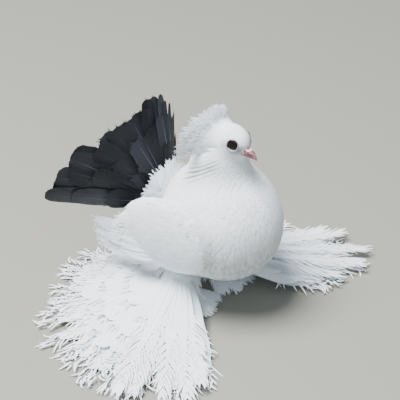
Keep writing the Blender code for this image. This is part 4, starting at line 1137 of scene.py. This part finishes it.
def billHalf(sign, high, wide, short):
    # Sections of half an ellipse on the mouth's line, which narrow and sink toward a blunt tip
    t = np.linspace(0, 1, bill["rows"])
    (gapeAt, gapeUp), (tipAt, tipUp) = bill["gape"], bill["tip"]
    share = t * (1 - short / (tipAt - gapeAt))
    ahead = gapeAt + (tipAt - gapeAt) * share
    line = gapeUp + (tipUp - gapeUp) * share - bill["hook"] * np.maximum(share - 0.7, 0) ** 2 / 0.09
    blunt = np.sqrt(np.clip((1 - t) / 0.1, 0.015, 1))
    half = bill["half"] * (1 - 0.78 * t ** 1.25) * blunt * wide
    depth = (high * (1 - 0.66 * t ** 2) * blunt)[:, None]
    bend = around(bill["ring"]) + math.pi / bill["ring"]
    c, s = np.cos(bend), np.sin(bend)
    tall = np.where(s > 0, np.abs(s) ** 0.9, -0.08 * np.abs(s) ** 0.6)
    level = line[:, None] + sign * (bill["gap"] / 2 + depth * (tall + 0.08))
    points = headPlace(ahead[:, None], np.outer(half, np.sign(c) * np.abs(c) ** 0.85), level)
    ends = headPlace(ahead[[0, -1]] + (-0.2, 0.15), 0, line[[0, -1]] + sign * 0.3 * depth[[0, -1], 0])
    faceSets = closedGrid(bill["rows"], bill["ring"])
    return np.concatenate([points.reshape(-1, 3), ends]), [faces[:, ::sign] for faces in faceSets]


def headBalls(at, radii):
    # Small ellipsoids in head terms, one a side, whose long axis is turned from straight ahead
    c, s = math.cos(bill["inward"]), math.sin(bill["inward"])
    balls = []
    for side in (1, -1):
        axes = np.array(((-s * side, c, 0), (0, 0, 1), (c, s * side, 0)))
        local = ballPoints(np.array(at) * (1, side, 1), np.roll(radii, -1), axes, 20, 28)
        balls.append((headPlace(*local.T), closedGrid(20, 28)))
    return joined(balls)


def makeBill(horn, powder, soft, nostril):
    for name, *shape in (("bill_upper", 1, bill["upper"], 1, 0),
                         ("bill_lower", -1, bill["lower"], 0.9, bill["lowerShort"])):
        putMesh(name + "_horn", *billHalf(*shape), horn, replaces=(name,), slot="bill")
    putMesh("cere", *headBalls(*bill["cere"]), powder, slot="bill")
    putMesh("nostrils", *headBalls(*bill["nostril"]), nostril, slot="bill")
    # Lips at the gape: rods that run back and out from 17 ahead, above and below the mouth's line
    t = np.linspace(0, 1, 14)
    ahead = 17 - 7 * t
    line = np.interp(ahead, *zip(bill["gape"], bill["tip"]))
    lips = [tube(headPlace(ahead, (3.5 + 2.9 * t) * side, line + off * (1 - 0.75 * t ** 2)),
                 thick * (1 - 0.5 * t), 14) for side in (1, -1) for off, thick in bill["lips"]]
    putMesh("gape", *joined(lips), soft, slot="bill")


# Eyes, each a ball sunk in the head behind a ring of lid

eye = {"at": (10.2, 8.6, 4), "shift": (-1.7, 0, -0.6), "radii": (5.3, 5.3, 1.9), "sink": 1.62,
       "lid": 5, "lidThick": 0.52, "lidLevel": -0.1, "rows": 30, "turns": 48,
       "lidTurns": 96, "lidRing": 12, "lidBeads": 26}


def eyePlace(side):
    # Where the ray from the skull's middle through the eye meets the flesh, and its direction
    ahead, right, up = eye["at"]
    middle = headPlace(ahead * 0.6, 0, up)
    aim = unit(headPlace(ahead, right * side, up) - middle)
    middle = middle + headPlace(*eye["shift"]) - headPlace(0, 0, 0)
    return middle + aim * leave(fleshField, middle, aim, 0), aim


def makeEyes(ball, lid):
    rows, turns, lidTurns, ring = eye["rows"], eye["turns"], eye["lidTurns"], eye["lidRing"]
    for side, word in sides:
        skinAt, aim = eyePlace(side)
        across = unit(np.cross(upward, aim))
        over = np.cross(aim, across)
        points = ballPoints(skinAt - aim * eye["sink"], eye["radii"], np.stack([across, over, aim]), rows,
                            turns)
        off = np.append(np.repeat(np.arange(1, rows + 1) / (rows + 1), turns), (0, 1))
        putMesh("eye_" + word + "_ball", points, closedGrid(rows, turns), ball, {"pupil": off},
                replaces=("eye_" + word,), slot="eye")
        # Lid: a ring that follows the head's curve, its section swelling and thinning in small beads
        turn, bend = around(lidTurns)[:, None], around(ring)
        thick = eye["lidThick"] * (1 + 0.1 * np.cos(turn * eye["lidBeads"]))
        spoke = times(across, np.cos(turn)) + times(over, np.sin(turn))
        middle = settle(skinAt + spoke * eye["lid"], aim, fleshField, eye["lidLevel"])
        places = (middle + spoke * (1.15 * thick * np.cos(bend))[..., None]
                  + times(aim, thick * np.sin(bend)))
        quads = loftFaces(lidTurns + 1, ring) % (lidTurns * ring)
        putMesh("eye_" + word + "_lid", places, [quads[:, ::-1]], lid, slot="bill")


# Materials

# low: the low body's painted shade and stain; grey: painted shade in the neck's folds, along the wing's
# edge and round the eyes
plumage = {"base": "#F3F8FC", "shade": "#E3E9EC", "low": "#9DA19D", "grey": "#84888B", "barbs": 1.1,
           "rough": 0.78}
dark = {"base": "#0C0D11", "dull": "#292A30", "shaft": "#55565C", "sheen": "#8FA0B8", "barbs": 1.2}


def addBarbs(tree, surface, pitch, strength, depth):
    # Ribs: the sine of the run across the barbs
    wave = addMath(tree, "SINE", addMath(tree, "MULTIPLY", attribute(tree, "barbRun"), math.tau / pitch))
    addBump(tree, surface, wave, strength, depth)


def plumageMaterial():
    # White plumage: matt barbs that scatter light, with faint ribs along each vane. Real barbs
    # are 0.3 mm apart; they are drawn at 1.1 mm so that they show.
    material, tree, surface = newMaterial("whitePlumage", plumage["base"], **{
        "Roughness": plumage["rough"], "Subsurface Weight": 0.12, "Subsurface Scale": 2 * mm,
        "Subsurface Radius": (1, 0.9, 0.8), "Sheen Weight": 0.15, "Sheen Roughness": 0.6,
        "Specular IOR Level": 0.25})
    place = objectPlace(tree)
    cloud = addNode(tree, "TexNoise", {"Scale": 38, "Detail": 2, "Vector": place})
    tone = addMath(tree, "ADD", addMath(tree, "MULTIPLY", attribute(tree, "tuft"), 0.5), cloud)
    colour = addMix(tree, addRange(tree, tone, 0.45, 1.15), hexColour(plumage["base"]),
                    hexColour(plumage["shade"]))
    # Painted shade in grey: the tint's spots round the eyes and band along the wing's edge, and dark lines
    # in the neck's folds, (0.5 - 0.5 sin(phase)) squared times their span
    line = addMath(tree, "MULTIPLY_ADD", addMath(tree, "SINE", attribute(tree, "foldPhase")), -0.5, 0.5)
    line = addMath(tree, "MULTIPLY_ADD", addMath(tree, "POWER", line, 2), attribute(tree, "foldSpan"),
                   attribute(tree, "tint"), use_clamp=True)
    colour = addMix(tree, line, colour, hexColour(plumage["grey"]))
    # Painted shade of the low body, darker toward the floor, with a real stain in upright streaks
    upright = addNode(tree, "Mapping", {"Scale": (1, 1, 0.16), "Vector": place})
    streak = addNode(tree, "TexNoise", {"Scale": 420, "Detail": 1, "Vector": upright})
    lowShadeAndStain = addMath(tree, "MULTIPLY", attribute(tree, "lowShadeAndStain"),
                    addRange(tree, streak, 0.35, 0.65, 0.55, 1.2))
    colour = addMix(tree, lowShadeAndStain, colour, hexColour(plumage["low"]))
    tree.links.new(colour, surface.inputs["Base Color"])
    addBarbs(tree, surface, plumage["barbs"], 0.25, 0.12)
    return material


def darkMaterial():
    # Charcoal vanes: barbs slant from a paler shaft, a few feathers are duller than the rest
    material, tree, surface = newMaterial("charcoalVane", dark["base"], **{
        "Roughness": 0.55, "Sheen Weight": 0.05, "Sheen Roughness": 0.4, "Specular IOR Level": 0.25,
        "Sheen Tint": hexColour(dark["sheen"])})
    tuft = attribute(tree, "tuft")
    colour = addMix(tree, addRange(tree, tuft, 0.45, 1), hexColour(dark["base"]), hexColour(dark["dull"]))
    shaft = addMath(tree, "MULTIPLY", attribute(tree, "shaft"), addRange(tree, tuft, 0.1, 0.95, 0.1))
    colour = addMix(tree, shaft, colour, hexColour(dark["shaft"]))
    tree.links.new(colour, surface.inputs["Base Color"])
    addBarbs(tree, surface, dark["barbs"], 0.35, 0.15)
    return material


def grainedMaterial(name, colour, other, scale, depth, **shader):
    # Soft or horny skin: two tones clouded together, over a fine grain
    material, tree, surface = newMaterial(name, colour, **shader)
    place = objectPlace(tree)
    cloud = addNode(tree, "TexNoise", {"Scale": scale * 0.3, "Detail": 2, "Vector": place})
    mixed = addMix(tree, addRange(tree, cloud, 0.35, 0.7), hexColour(colour), hexColour(other))
    tree.links.new(mixed, surface.inputs["Base Color"])
    grain = addNode(tree, "TexNoise", {"Scale": scale, "Detail": 3, "Vector": place})
    addBump(tree, surface, grain, 0.4, depth)
    return material


def eyeMaterial():
    # Wet eye: near black, a dark brown iris round the pupil, under a clear tear film
    material, tree, surface = newMaterial("wetEye", "#0A0807", **{
        "Roughness": 0.2, "Coat Weight": 0.35, "Coat Roughness": 0.02, "IOR": 1.36,
        "Specular IOR Level": 0.2})
    iris = addRange(tree, attribute(tree, "pupil"), 0.86, 0.8)
    mixed = addMix(tree, iris, hexColour("#070606"), hexColour("#140B08"))
    tree.links.new(mixed, surface.inputs["Base Color"])
    return material


def lidMaterial():
    # Bare lid skin: pale grey pink, soft and finely creased
    material, tree, surface = newMaterial("lidSkin", "#8E8A8E", **{
        "Roughness": 0.6, "Subsurface Weight": 0.2, "Subsurface Scale": mm})
    grain = addNode(tree, "TexNoise", {"Scale": 2500, "Vector": objectPlace(tree)})
    addBump(tree, surface, grain, 0.3, 0.1)
    return material


makeStage()
whitePlumage = plumageMaterial()
makeSkin(whitePlumage)
makeCoat(whitePlumage)
makeWings(whitePlumage)
makeTail(darkMaterial(), whitePlumage)
makeCrest(whitePlumage)
makeMuffs(whitePlumage)
makeFeet(whitePlumage,
         grainedMaterial("toeSkin", "#B5655C", "#C98579", 900, 0.15, Roughness=0.55),
         grainedMaterial("clawHorn", "#C9B8A6", "#A8988A", 1200, 0.05, Roughness=0.35))
makeBill(grainedMaterial("billHorn", "#6F464B", "#8A6268", 900, 0.05, **{
             "Roughness": 0.38, "Subsurface Weight": 0.15, "Subsurface Scale": mm}),
         grainedMaterial("powderyCere", "#CDBAB9", "#C0A4A4", 1500, 0.08, Roughness=0.8),
         grainedMaterial("gapeSkin", "#A58384", "#926F70", 1500, 0.06, Roughness=0.5),
         grainedMaterial("nostrilSkin", "#5C2E35", "#6E3B42", 1500, 0.06, Roughness=0.6))
makeEyes(eyeMaterial(), lidMaterial())
